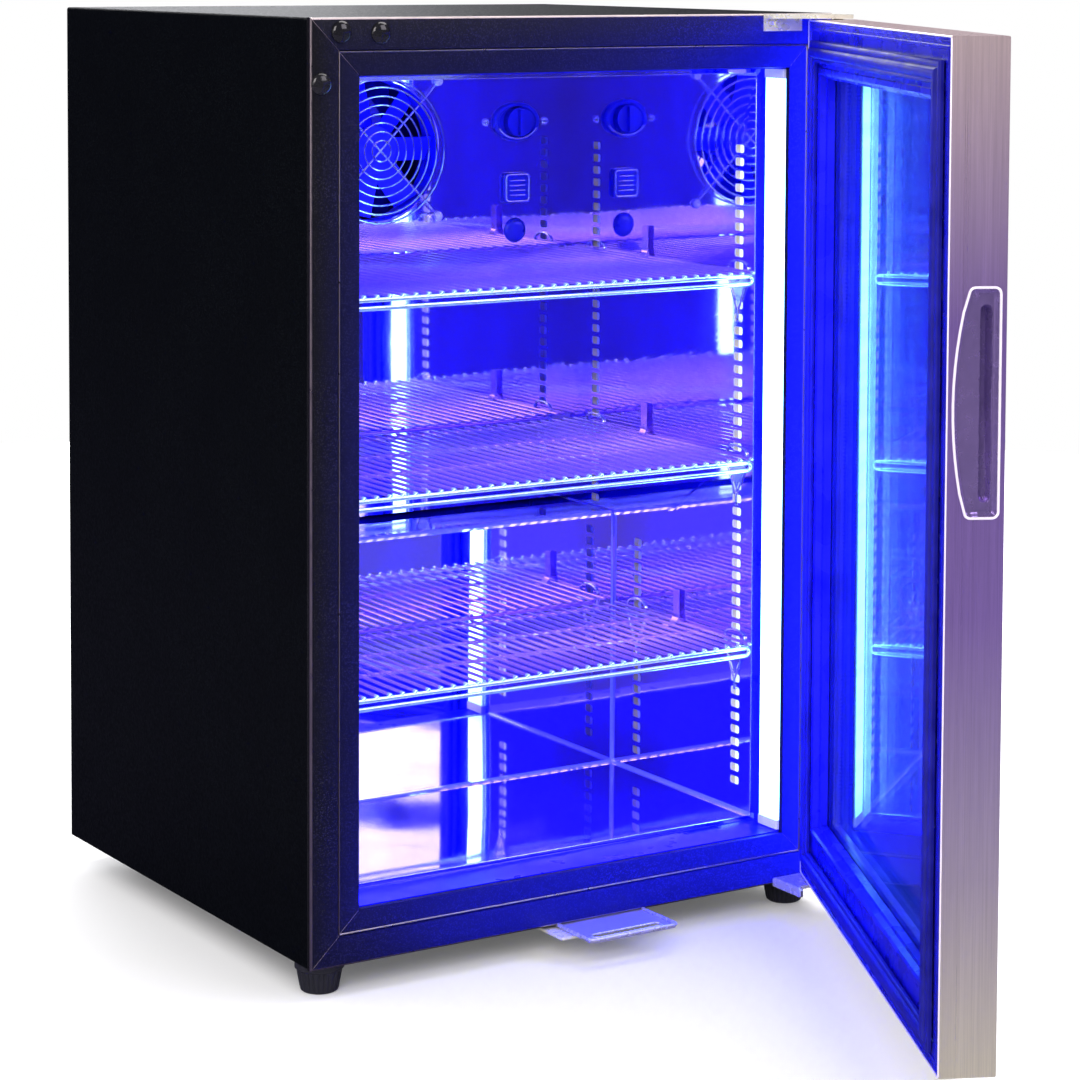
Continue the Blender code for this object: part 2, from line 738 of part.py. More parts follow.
def compressor(paint):
    """Hermetic compressor: domed can on a foot plate, with its relay box and service stub."""
    x, y, z = 0.104, 0.130, 0.0147
    radius = 0.056
    profile = [(0.0, z + 0.155)]
    for k in range(1, 6):
        angle = math.radians(90 * k / 5)
        profile.append((radius * math.sin(angle), z + 0.118 + 0.037 * math.cos(angle)))
    profile += [(radius + 0.002, z + 0.075), (radius, z + 0.030), (0.045, z + 0.008), (0.0, z - 0.0005)]
    can = turned("compressor", profile, (x, y, 0), paint, 24)
    foot_plate = (x - 0.078, y - 0.036, z - 0.002), (x + 0.078, y + 0.036, z + 0.0015)
    join(can, box("compressor_feet", *foot_plate))
    for i, (sx, sy) in enumerate(((-1, -1), (1, -1), (-1, 1), (1, 1))):
        leg = (x + sx * 0.068, y + sy * 0.027, z - 0.0058)
        join(can, cylinder(f"compressor_leg_{i}", leg, 0.008, 0.0115, steps=12))
    relay = (x - 0.078, y - 0.022, z + 0.040), (x - 0.040, y + 0.022, z + 0.096)
    stub = [(x, y, z + 0.15), (x, y, z + 0.185), (x, y - 0.03, z + 0.19)]
    return join(can, box("relay_box", *relay), wire("service_stub", stub, 0.003))


def condenser(paint):
    """Winding tube clamped between upright bars that stand on the pan."""
    y = 0.165
    coil = wire("condenser", winding(-0.185, -0.015, y, 0.040, 0.029, 6), 0.0028, paint)
    for i in range(3):
        x = -0.180 + 0.080 * i
        join(coil, box(f"condenser_bar_{i}", (x, y - 0.008, 0.0029), (x + 0.003, y + 0.008, 0.200)))
    return coil


def power_inlet(paint):
    """Mains inlet socket in the machine bay's cover."""
    flange = inlet_box("power_inlet", 0.0200, 0.0145, GAP, 0.0028, paint, 0.0008)
    join(flange, inlet_box("inlet_body", 0.0148, 0.0098, -0.016, 0.0015))
    return cut(flange, inlet_box("inlet_well", 0.012, 0.0075, -0.013, 0.05))


def inlet_box(name, half_x, half_z, back_low, back_high, paint=None, round_r=0.0):
    """A box centred on the mains inlet, between two depths from the cabinet's back."""
    low = (INLET_X - half_x, BACK + back_low, INLET_Z - half_z)
    high = (INLET_X + half_x, BACK + back_high, INLET_Z + half_z)
    return box(name, low, high, paint, round_r)


# ------------------------------------------------- brackets, strike and feet

def hinge_bracket(name, paint, upper):
    """Screwed leg on the face frame, an arm over the door's end, and its pivot pin."""
    if upper:
        arm_z = (DOOR_HIGH + 0.001, DOOR_HIGH + 0.001 + BRACKET_T)
        leg_z = (BODY_H - BRACKET_LEG_H, arm_z[1])
        pin = (DOOR_HIGH - 0.011, arm_z[0] + 0.001)
    else:
        arm_z = (DOOR_LOW - 0.001 - BRACKET_T, DOOR_LOW - 0.001)
        leg_z = (arm_z[0], BRACKET_LEG_H)
        pin = (arm_z[1] - 0.001, DOOR_LOW + 0.011)
    x0, x1 = BRACKET_X
    y = FRONT - GAP
    reach = PIVOT_Y - 0.009
    end = PIVOT_X + 0.009
    corners = [(x0, y), (x0, y - 0.012), (PIVOT_X - 0.012, reach), (end, reach), (end, y)]
    outline = rounded(corners, 0.0035)
    matrix = Matrix.Translation((0, 0, sum(arm_z) / 2))
    arm = plate(name, [outline], BRACKET_T, matrix, paint)
    leg = box(f"{name}_leg", (x0 + 0.0001, y - 0.0025, leg_z[0]), (x1, y, leg_z[1]))
    pin_z = sum(pin) / 2
    stud = cylinder(f"{name}_pin", (PIVOT_X, PIVOT_Y, pin_z), PIN_R, pin[1] - pin[0])
    screw_z = leg_z[0] + 0.0055 if upper else leg_z[1] - 0.0055
    head = cylinder(f"{name}_screw", (0.170, y - 0.0030, screw_z), 0.0034, 0.0021, "Y", steps=16)
    return join(arm, leg, stud, head)


def strike_plate(paint):
    """Dished plate under the front edge with the lock cam's slot, held by a strip below it."""
    x0, x1 = STRIKE_X
    front = FRONT - STRIKE_REACH
    outline = rounded(rectangle(x0, front, x1, FRONT + 0.024), 0.005)
    slot_y = door_y(LOCK_N)
    slot = rounded(rectangle(LOCK_X - 0.030, slot_y - 0.004, LOCK_X + 0.030, slot_y + 0.004), 0.0039)
    matrix = Matrix.Translation((0, 0, -0.0013))
    dish = plate("strike_plate", [outline, slot], 0.0018, matrix, paint)
    rim = rounded(rectangle(x0 + 0.0001, front + 0.0001, x1 - 0.0001, FRONT - 0.0008), 0.005)
    inner = rounded(rectangle(x0 + 0.0028, front + 0.0028, x1 - 0.0028, FRONT + 0.02), 0.003)
    lip = plate("strike_rim", [rim], 0.003, Matrix.Translation((0, 0, 0.0004)))
    cut(lip, plate("strike_dish", [inner], 0.02, Matrix.Translation((0, 0, 0.0004))))
    strip = (x0 - 0.009, FRONT - 0.022, -0.0040), (x0 + 0.021, FRONT + 0.023, -0.0020)
    return join(dish, lip, box("strike_strip", *strip))


def foot(name, x, y, paint):
    """Tapered levelling foot on a threaded stem."""
    profile = [
        (0.0, 0.0210),
        (STEM_R, 0.0205),
        (STEM_R, 0.0007),
        (FOOT_R - 0.001, 0.0007),
        (FOOT_R, -0.0006),
        (FOOT_R, -0.0045),
        (0.0152, -0.0075),
        (0.0140, -FOOT_H + 0.001),
        (0.0130, -FOOT_H),
        (0.0, -FOOT_H),
    ]
    return turned(name, profile, (x, y, 0), paint, 16)


# ----------------------------------------------------------------------- door

def door_y(n):
    return FRONT - DOOR_GAP - n


def door_box(name, x_inset, n_low, n_high, z_low, z_high, paint=None):
    """A box across the closed door: insets from its edges and depths from its inner face."""
    x = SIDE - x_inset
    return box(name, (-x, door_y(n_high), z_low), (x, door_y(n_low), z_high), paint)


def sight(name, n_low, n_high, grow, paint=None):
    """A box over the door's glazed opening, grown by a lap on all sides."""
    low = DOOR_LOW + DOOR_BORDER_LOW - grow
    high = DOOR_HIGH - DOOR_BORDER + grow
    return door_box(name, DOOR_BORDER - grow, n_low, n_high, low, high, paint)


def door_frame(paint):
    """Brushed sheet wrapped over the door's front and edges."""
    frame = door_box("door_frame", 0.0, 0.0, DOOR_T, DOOR_LOW, DOOR_HIGH, paint)
    inner = DOOR_SKIN
    low = DOOR_LOW + inner
    high = DOOR_HIGH - inner
    cut(frame, door_box("frame_hollow", inner, -0.01, DOOR_T - inner, low, high))
    cut(frame, sight("frame_window", 0.0, DOOR_T + 0.01, 0.0))
    cut(frame, handle_prism("frame_handle_hole", 0.0012, 0.03))
    cut(frame, *bush_holes("frame"), *lock_holes("frame"))
    return frame


def door_inner_trim(paint):
    """Plastic profile that fills the frame and carries the glass and the gasket."""
    inset = DOOR_SKIN + GAP
    low = DOOR_LOW + inset
    high = DOOR_HIGH - inset
    trim = door_box("door_inner_trim", inset, 0.0, DOOR_T - inset, low, high, paint)
    cut(trim, sight("trim_sight", -0.01, DOOR_T + 0.01, 0.0))
    cut(trim, sight("glass_pocket", GLASS_N - 0.0002, DOOR_T + 0.01, GLASS_LAP))
    cut(trim, handle_prism("trim_handle_hole", 0.0004, 0.0185))
    cut(trim, *bush_holes("trim"), *lock_holes("trim"))
    return trim


def door_gasket(paint):
    """Magnetic seal round the inner face."""
    low = DOOR_LOW + GASKET_INSET_LOW
    high = DOOR_HIGH - GASKET_INSET_HIGH
    ring = door_box("door_gasket", GASKET_INSET, -GAP - GASKET_T, -GAP, low, high, paint)
    bevel = ring.modifiers.new("rounded", "BEVEL")
    bevel.width = 0.0015
    bevel.segments = 2
    bevel.limit_method = "ANGLE"
    bore = GASKET_INSET + GASKET_W
    return cut(ring, door_box("gasket_bore", bore, -0.02, 0.02, low + GASKET_W, high - GASKET_W))


def glass_pane(name, number, paint):
    n = GLASS_N + number * PANE_PITCH
    return sight(name, n, n + PANE_T, GLASS_LAP - 0.001, paint)


def spacer_bar(name, number, paint):
    """Perforated metal tube frame between two panes."""
    n = GLASS_N + number * PANE_PITCH + PANE_T + GAP
    depth = PANE_PITCH - PANE_T - 2 * GAP
    bar = sight(name, n, n + depth, GLASS_LAP - 0.002, paint)
    return cut(bar, sight(f"{name}_bore", n - 0.01, n + 0.02, -0.0005))


def handle_outline(grow):
    """The pull's outline: straight towards the outer face, bowed towards the inner one."""
    top = 0.501 + grow
    low = 0.359 - grow
    outer = 0.0325 + grow
    inner = [(0.0080 - grow, top), (0.0045 - grow, 0.474), (0.0052 - grow, 0.440)]
    inner += [(0.0082 - grow, 0.404), (0.0125 - grow, low)]
    corners = [(outer, low), (outer, top), *inner]
    return [(-n, z) for n, z in corners]


def handle_prism(name, grow, depth, paint=None, proud=0.01):
    """The pull's outline run into the door's free edge."""
    outline = rounded(handle_outline(grow), 0.0028, 2)
    centre_x = -SIDE + (depth - proud) / 2
    matrix = facing_side(centre_x, door_y(0.0), 0.0)
    return plate(name, [outline], depth + proud, matrix, paint)


def handle_pocket(paint):
    """Recessed pull: a flanged cup whose floor falls towards the outer face."""
    flange = handle_prism("handle_pocket", 0.0022, -0.0003, paint, 0.0012)
    join(flange, handle_prism("pull_cup", 0.0, 0.018, None, 0.0010))
    well = handle_prism("pull_well", -0.0016, 0.0165)
    for vertex in well.data.vertices:
        if vertex.co.z > 0:
            share = (-vertex.co.x - 0.006) / 0.026
            vertex.co.z -= 0.011 * (1 - min(max(share, 0.0), 1.0))
    return cut(flange, well)


def bush_holes(owner):
    top = cylinder(f"{owner}_bush_hole_top", (PIVOT_X, PIVOT_Y, DOOR_HIGH), 0.0064, 0.026)
    low = cylinder(f"{owner}_bush_hole_low", (PIVOT_X, PIVOT_Y, DOOR_LOW), 0.0064, 0.026)
    return top, low


def door_bush(name, z, up, paint):
    """Plastic sleeve that turns on the bracket's pin."""
    middle = z + up * 0.006
    bush = cylinder(name, (PIVOT_X, PIVOT_Y, middle), 0.0060, 0.0120, "Z", paint)
    return cut(bush, cylinder(f"{name}_bore", (PIVOT_X, PIVOT_Y, z), 0.0037, 0.0232))


def lock_holes(owner):
    """Barrel hole from the front and the pocket the cam swings in."""
    barrel = cylinder(f"{owner}_barrel_hole", (LOCK_X, door_y(0.033), LOCK_Z), 0.0097, 0.03, "Y")
    low = (LOCK_X - CAM_REACH - 0.002, door_y(LOCK_N + 0.002), DOOR_LOW - 0.01)
    high = (LOCK_X + 0.013, door_y(LOCK_N - 0.002), LOCK_Z + 0.011)
    return barrel, box(f"{owner}_cam_pocket", low, high)


def lock_housing(paint):
    """Cam lock's barrel with its proud front rim."""
    rim_n = DOOR_T + GAP + 0.001
    rim = cylinder("lock_housing", (LOCK_X, door_y(rim_n), LOCK_Z), 0.0112, 0.002, "Y", paint)
    barrel = (LOCK_X, door_y(0.0343), LOCK_Z)
    join(rim, cylinder("lock_barrel", barrel, 0.0093, 0.0080, "Y"))
    return cut(rim, cylinder("lock_bore", barrel, 0.0067, 0.05, "Y"))


def lock_plug(paint):
    """Turning key plug with the cam arm at its inner end."""
    plug = cylinder("lock_plug", (LOCK_X, door_y(0.0332), LOCK_Z), 0.0064, 0.0114, "Y", paint)
    arm_low = (LOCK_X - CAM_REACH, door_y(LOCK_N + 0.001), LOCK_Z - 0.005)
    arm_high = (LOCK_X + 0.006, door_y(LOCK_N - 0.001), LOCK_Z + 0.005)
    join(plug, box("lock_cam", arm_low, arm_high))
    slot_low = (LOCK_X - 0.0007, door_y(0.060), LOCK_Z - 0.004)
    slot_high = (LOCK_X + 0.0007, door_y(0.035), LOCK_Z + 0.004)
    return cut(plug, box("key_slot", slot_low, slot_high))


# ------------------------------------------------------------------- assembly

def build_cabinet(paints):
    outer_shell(paints["black"])
    base_pan(paints["black"])
    back_panel(paints["black"])
    compressor_cover(paints["black"])
    front_frame(paints["black"])
    collar(paints["trim"])
    liner(paints["mirror"])
    insulation(paints["foam"])
    for number, (x, z) in enumerate(cap_places(), 1):
        hole_cap(number, x, z, paints["trim"])
    led_strip("led_strip_left", -1, paints["light"])
    led_strip("led_strip_right", 1, paints["light"])
    hinge_bracket("hinge_bracket_top", paints["nickel"], True)
    hinge_bracket("hinge_bracket_bottom", paints["nickel"], False)
    strike_plate(paints["black"])
    sides = ("front_left", "front_right", "rear_left", "rear_right")
    for name, (x, y) in zip(sides, foot_places()):
        foot(f"foot_{name}", x, y, paints["trim"])


def build_cold_side(paints):
    evaporator_cover(paints["mirror"])
    evaporator(paints["nickel"])
    fan_housing(paints["trim"])
    fan_rotor(paints["trim"])
    fan_guard(paints["chrome"])
    thermostat_bezel(paints["trim"])
    thermostat_knob(paints["trim"])
    sensor_cover(paints["chrome"])
    panel_plug(paints["trim"])
    for number, top in enumerate(SHELF_TOPS):
        shelf(number + 1, top, SHELF_REAR_D[number], SHELF_TAB_D[number], paints["chrome"])
    for number, (_, side, y, under) in enumerate(clip_places(), 1):
        shelf_clip(number, side, y, under, paints["chrome"])


def build_machine_bay(paints):
    compressor(paints["black"])
    condenser(paints["black"])
    power_inlet(paints["trim"])


def build_door(paints):
    """Model the door closed, then swing it open about its pins."""
    hinge = bpy.data.objects.new("door_hinge", None)
    PARTS.objects.link(hinge)
    hinge.location = (PIVOT_X, PIVOT_Y, 0.0)
    pieces = [
        door_frame(paints["brushed"]),
        door_inner_trim(paints["trim"]),
        door_gasket(paints["rubber"]),
        glass_pane("glass_inner", 0, paints["glass"]),
        glass_pane("glass_middle", 1, paints["glass"]),
        glass_pane("glass_outer", 2, paints["glass"]),
        spacer_bar("spacer_inner", 0, paints["nickel"]),
        spacer_bar("spacer_outer", 1, paints["nickel"]),
        handle_pocket(paints["chrome"]),
        lock_housing(paints["chrome"]),
        lock_plug(paints["chrome"]),
        door_bush("door_bush_top", DOOR_HIGH, -1, paints["trim"]),
        door_bush("door_bush_bottom", DOOR_LOW, 1, paints["trim"]),
    ]
    attach(hinge, pieces)
    hinge.rotation_euler.z = math.radians(DOOR_OPEN_DEG)


def main():
    clear_scene()
    make_collections()
    paints = {
        "black": material("black_powder_coat", (0.012, 0.013, 0.020), 0.42),
        "trim": material("dark_plastic", (0.020, 0.021, 0.028), 0.38),
        "mirror": material("polished_liner", (0.62, 0.66, 0.90), 0.08, 1.0),
        "chrome": material("chrome_wire", (0.80, 0.82, 0.90), 0.12, 1.0),
        "brushed": material("brushed_steel", (0.52, 0.48, 0.48), 0.30, 1.0),
        "nickel": material("plated_steel", (0.66, 0.64, 0.58), 0.28, 1.0),
        "foam": material("insulating_foam", (0.80, 0.72, 0.48), 0.90),
        "light": material("opal_light_bar", (0.75, 0.85, 1.00), 0.50, glow=4.0),
        "rubber": material("gasket_rubber", (0.015, 0.016, 0.022), 0.55),
        "glass": material("clear_glass", (0.80, 0.88, 0.95), 0.03, alpha=0.25),
    }
    build_cabinet(paints)
    build_cold_side(paints)
    build_machine_bay(paints)
    build_door(paints)


main()
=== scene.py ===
"""Looks for the undercounter glass-door refrigerator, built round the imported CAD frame.

Metres, +X right seen from the front, +Y back, +Z up. Pieces of the cabinet are
placed from the CAD nodes' boxes. Pieces of the door are built in the closed
position and swung open about the hinge, as the CAD door is at rest.
"""

import json
import math
import random

import bmesh
import bpy
from mathutils import Matrix, Vector

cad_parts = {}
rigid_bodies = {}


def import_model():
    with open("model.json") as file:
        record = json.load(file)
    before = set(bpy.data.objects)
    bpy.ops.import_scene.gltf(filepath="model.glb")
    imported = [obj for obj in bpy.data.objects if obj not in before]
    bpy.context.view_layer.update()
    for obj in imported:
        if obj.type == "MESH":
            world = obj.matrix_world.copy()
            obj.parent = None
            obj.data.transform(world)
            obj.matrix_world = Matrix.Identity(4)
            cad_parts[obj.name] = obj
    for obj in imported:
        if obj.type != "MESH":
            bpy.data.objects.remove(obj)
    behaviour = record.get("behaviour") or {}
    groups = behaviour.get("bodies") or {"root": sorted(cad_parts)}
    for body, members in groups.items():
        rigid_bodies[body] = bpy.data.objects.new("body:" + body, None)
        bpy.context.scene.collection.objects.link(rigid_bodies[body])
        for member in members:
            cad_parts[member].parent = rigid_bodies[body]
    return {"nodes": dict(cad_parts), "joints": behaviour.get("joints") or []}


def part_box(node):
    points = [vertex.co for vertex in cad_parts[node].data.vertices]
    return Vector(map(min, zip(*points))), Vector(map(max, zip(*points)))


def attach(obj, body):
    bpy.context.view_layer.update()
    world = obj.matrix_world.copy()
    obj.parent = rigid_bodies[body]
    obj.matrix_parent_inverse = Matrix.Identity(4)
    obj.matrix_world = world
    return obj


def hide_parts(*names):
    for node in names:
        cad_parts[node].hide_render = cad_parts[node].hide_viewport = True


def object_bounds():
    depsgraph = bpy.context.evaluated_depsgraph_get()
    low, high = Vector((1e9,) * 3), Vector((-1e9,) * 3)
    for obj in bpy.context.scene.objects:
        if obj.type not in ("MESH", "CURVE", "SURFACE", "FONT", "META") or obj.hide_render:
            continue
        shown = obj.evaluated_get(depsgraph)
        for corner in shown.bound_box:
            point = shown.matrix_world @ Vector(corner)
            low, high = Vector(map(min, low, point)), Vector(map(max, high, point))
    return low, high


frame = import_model()
CAD_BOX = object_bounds()

# ------------------------------------------------------------ driving places

JOINTS = {joint["name"]: joint for joint in frame["joints"]}
FACE_LOW, FACE_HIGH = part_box("front_frame")
COVER_LOW, COVER_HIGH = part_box("evaporator_cover")
LINER_LOW, LINER_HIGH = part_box("liner")
COLLAR_LOW, COLLAR_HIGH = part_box("collar")

FRONT = FACE_LOW.y
SIDE = FACE_HIGH.x
BODY_TOP = FACE_HIGH.z
FACE_BACK = FACE_HIGH.y
SHEET = 0.0012
OPEN_X = COVER_HIGH.x + 0.0005
OPEN_LOW = COLLAR_LOW.z + 0.0007
OPEN_HIGH = COLLAR_HIGH.z - 0.0007
LINER_Y = LINER_LOW.y
LINER_BACK = LINER_HIGH.y - SHEET
FLOOR_Z = LINER_LOW.z + 0.0030
CEILING_Z = LINER_HIGH.z - 0.0052
STEP_Z = COVER_LOW.z - 0.0040
STEP_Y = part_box("shelf_3")[1].y + 0.0080
COVER_Y = COVER_LOW.y

HINGE = Vector(JOINTS["door_hinge"]["pos_m"])
DOOR_ANGLE = math.radians(-JOINTS["door_hinge"]["range_deg"][0])
DOOR_SWING = (
    Matrix.Translation(HINGE) @ Matrix.Rotation(DOOR_ANGLE, 4, "Z") @ Matrix.Translation(-HINGE)
)


def node_centre(node):
    """Middle of a CAD node's box."""
    return sum(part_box(node), Vector()) / 2


def half_width(node):
    """Half of a CAD node's box along X: a round part's radius."""
    low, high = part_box(node)
    return (high.x - low.x) / 2


def closed_box(node):
    """Box of a door node with the door swung shut."""
    shut = DOOR_SWING.inverted()
    points = [shut @ v.co for v in frame["nodes"][node].data.vertices]
    low = Vector([min(p[k] for p in points) for k in range(3)])
    high = Vector([max(p[k] for p in points) for k in range(3)])
    return low, high


FAN_CENTRE = node_centre("fan_rotor")
DOOR_LOW, DOOR_HIGH = closed_box("door_frame")
DOOR_INNER_Y = DOOR_HIGH.y
DOOR_T = DOOR_HIGH.y - DOOR_LOW.y
BORDER = 0.043
BORDER_BOTTOM_EXTRA = 0.005


# ------------------------------------------------------------- mesh builders

def finish_mesh(name, bm, paint, smooth_deg=38):
    """Make an object from a bmesh, with outward faces and smooth shading."""
    bmesh.ops.recalc_face_normals(bm, faces=bm.faces)
    mesh = bpy.data.meshes.new(name)
    bm.to_mesh(mesh)
    bm.free()
    mesh.materials.append(paint)
    if smooth_deg:
        mesh.shade_smooth()
        mesh.set_sharp_from_angle(angle=math.radians(smooth_deg))
    obj = bpy.data.objects.new(name, mesh)
    bpy.context.scene.collection.objects.link(obj)
    return obj


def piece(obj, body, slot, *nodes):
    """Let a piece ride on a body and hide the CAD nodes it stands for; the slot is not used."""
    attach(obj, body)
    if nodes:
        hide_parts(*nodes)
    return obj


def soften(obj, width, segments=2):
    """Round an object's edges, with flat faces kept flat."""
    bevel = obj.modifiers.new("soft_edges", "BEVEL")
    bevel.width = width
    bevel.segments = segments
    bevel.limit_method = "ANGLE"
    bevel.angle_limit = math.radians(35)
    bevel.harden_normals = True
    return obj


def add_piece(name, bm, paint, body, slot, *nodes, smooth_deg=38, soft=0.0):
    """Finish a mesh, round its edges where asked, and let it ride on a body."""
    obj = finish_mesh(name, bm, paint, smooth_deg=smooth_deg)
    if soft:
        soften(obj, soft)
    return piece(obj, body, slot, *nodes)


def bake(obj):
    """Apply an object's modifiers to its mesh."""
    bpy.context.view_layer.update()
    graph = bpy.context.evaluated_depsgraph_get()
    mesh = bpy.data.meshes.new_from_object(obj.evaluated_get(graph))
    mesh.name = obj.name
    obj.modifiers.clear()
    obj.data = mesh
    return obj


def cut(obj, bm):
    """Cut the shape in a bmesh out of an object, in the object's own paint."""
    cutter = finish_mesh("cutter", bm, obj.data.materials[0])
    step = obj.modifiers.new("cut", "BOOLEAN")
    step.operation = "DIFFERENCE"
    step.solver = "EXACT"
    step.object = cutter
    bake(obj)
    bpy.data.objects.remove(cutter, do_unlink=True)


def tube(bm, points, radius, sides=8, closed=False):
    """Sweep a circle along a path of points. A free end gets a small dome."""
    path = [Vector(p) for p in points]
    count = len(path)
    rings = []
    normal = None
    for i, point in enumerate(path):
        if closed:
            along = (path[(i + 1) % count] - path[i - 1]).normalized()
        else:
            along = (path[min(i + 1, count - 1)] - path[max(i - 1, 0)]).normalized()
        if normal is None:
            normal = along.orthogonal().normalized()
        normal = (normal - along * normal.dot(along)).normalized()
        side = along.cross(normal)
        ring = []
        for k in range(sides):
            angle = 2 * math.pi * k / sides
            offset = normal * math.cos(angle) + side * math.sin(angle)
            ring.append(bm.verts.new(point + offset * radius))
        rings.append(ring)
    pairs = list(zip(rings, rings[1:]))
    if closed:
        pairs.append((rings[-1], rings[0]))
    for a, b in pairs:
        bridge(bm, a, b)
    if closed:
        return
    for ring, direction in ((rings[0], path[0] - path[1]), (rings[-1], path[-1] - path[-2])):
        dome(bm, ring, direction.normalized(), radius)


def upright_tube(bm, y, outline, radius, sides=8, closed=True):
    """A tube along an outline in XZ that stands at y."""
    tube(bm, [(u, y, v) for u, v in outline], radius, sides, closed)


def bridge(bm, a, b):
    """Quads between two rings of the same length."""
    count = len(a)
    for k in range(count):
        bm.faces.new((a[k], a[(k + 1) % count], b[(k + 1) % count], b[k]))


def dome(bm, ring, direction, radius):
    """Close a ring with a hemispherical cap."""
    centre = sum((v.co for v in ring), Vector()) / len(ring)
    last = ring
    for lift, shrink in ((0.5, 0.87), (0.87, 0.5)):
        new = [bm.verts.new(centre + (v.co - centre) * shrink + direction * radius * lift) for v in ring]
        bridge(bm, last, new)
        last = new
    tip = bm.verts.new(centre + direction * radius)
    for k in range(len(last)):
        bm.faces.new((last[k], last[(k + 1) % len(last)], tip))


def lathe(bm, profile, steps, matrix):
    """Turn a profile of (radius, height) about Z. Ends at radius zero close it."""
    rings = []
    for radius, height in profile:
        if radius == 0:
            rings.append([bm.verts.new(matrix @ Vector((0, 0, height)))])
            continue
        angles = [2 * math.pi * k / steps for k in range(steps)]
        points = [(radius * math.cos(a), radius * math.sin(a), height) for a in angles]
        rings.append([bm.verts.new(matrix @ Vector(p)) for p in points])
    for a, b in zip(rings, rings[1:]):
        if len(a) > 1 and len(b) > 1:
            bridge(bm, a, b)
            continue
        tip, ring = (a[0], b) if len(a) == 1 else (b[0], a)
        for k in range(len(ring)):
            bm.faces.new((ring[k], ring[(k + 1) % len(ring)], tip))


def domed(radius, base, rise, steps):
    """Profile for lathe: from the tip of a dome down to its rim at a base height."""
    turns = [math.radians(90 * k / steps) for k in range(1, steps + 1)]
    return [(0.0, base + rise)] + [(radius * math.sin(a), base + rise * math.cos(a)) for a in turns]


def prism(bm, outline, low, high, matrix=None):
    """Extrude a closed 2D outline between two heights."""
    matrix = matrix or Matrix.Identity(4)
    bottom = [bm.verts.new(matrix @ Vector((u, v, low))) for u, v in outline]
    top = [bm.verts.new(matrix @ Vector((u, v, high))) for u, v in outline]
    bridge(bm, bottom, top)
    bm.faces.new(bottom)
    bm.faces.new(top)


def block(bm, low, high):
    """An upright box between two corners."""
    outline = [(low[0], low[1]), (high[0], low[1]), (high[0], high[1]), (low[0], high[1])]
    prism(bm, outline, low[2], high[2])


def rounded_rectangle(x0, z0, x1, z1, radius, steps=5):
    """Outline of a rectangle with round corners, counter-clockwise."""
    centres = (
        (x1 - radius, z1 - radius, 0),
        (x0 + radius, z1 - radius, 90),
        (x0 + radius, z0 + radius, 180),
        (x1 - radius, z0 + radius, 270),
    )
    outline = []
    for cx, cz, start in centres:
        for k in range(steps + 1):
            angle = math.radians(start + 90 * k / steps)
            outline.append((cx + radius * math.cos(angle), cz + radius * math.sin(angle)))
    return outline


def oblong(x, z, half_x, half_z, radius, steps=5):
    """Outline of a round-cornered rectangle about its middle."""
    return rounded_rectangle(x - half_x, z - half_z, x + half_x, z + half_z, radius, steps)


def arc(cx, cz, rx, rz, start_deg, end_deg, steps):
    """Points on an ellipse from one angle to another."""
    angles = [math.radians(start_deg + (end_deg - start_deg) * k / steps) for k in range(steps + 1)]
    return [(cx + rx * math.cos(a), cz + rz * math.sin(a)) for a in angles]


def sweep_rectangle(bm, profile, outer_low, outer_high, bottom_extra=None):
    """Run a closed profile of (inset, y) round a rectangle, mitred at its corners.

    bottom_extra gives, for an inset, how much further in the bottom run lies.
    """
    extra = bottom_extra or (lambda inset: 0.0)
    loops = []
    for x_side, z_side in ((-1, -1), (1, -1), (1, 1), (-1, 1)):
        loop = []
        for inset, y in profile:
            x = outer_low[0] + inset if x_side < 0 else outer_high[0] - inset
            z = outer_low[1] + inset + extra(inset) if z_side < 0 else outer_high[1] - inset
            loop.append(bm.verts.new((x, y, z)))
        loops.append(loop)
    for a, b in zip(loops, loops[1:] + loops[:1]):
        bridge(bm, a, b)


def circle(x, z, rx, rz, steps):
    """Points round an ellipse, without the repeated last one."""
    return arc(x, z, rx, rz, 0, 360, steps)[:-1]


def facing_side(x):
    """Matrix that turns an outline in XY to stand in YZ at x, its height towards +X."""
    return Matrix(((0, 0, 1, x), (1, 0, 0, 0), (0, 1, 0, 0), (0, 0, 0, 1)))


def facing_front(x, y, z):
    """Matrix that turns an outline in XY to stand in XZ, its height towards -Y."""
    return Matrix.Translation((x, y, z)) @ Matrix.Rotation(math.radians(90), 4, "X")


# ---------------------------------------------------------------- materials

GLASS_INDEX = 1.52
LIGHT_BAR_SEEN = 8.0
LIGHT_BAR_CAST = 150.0


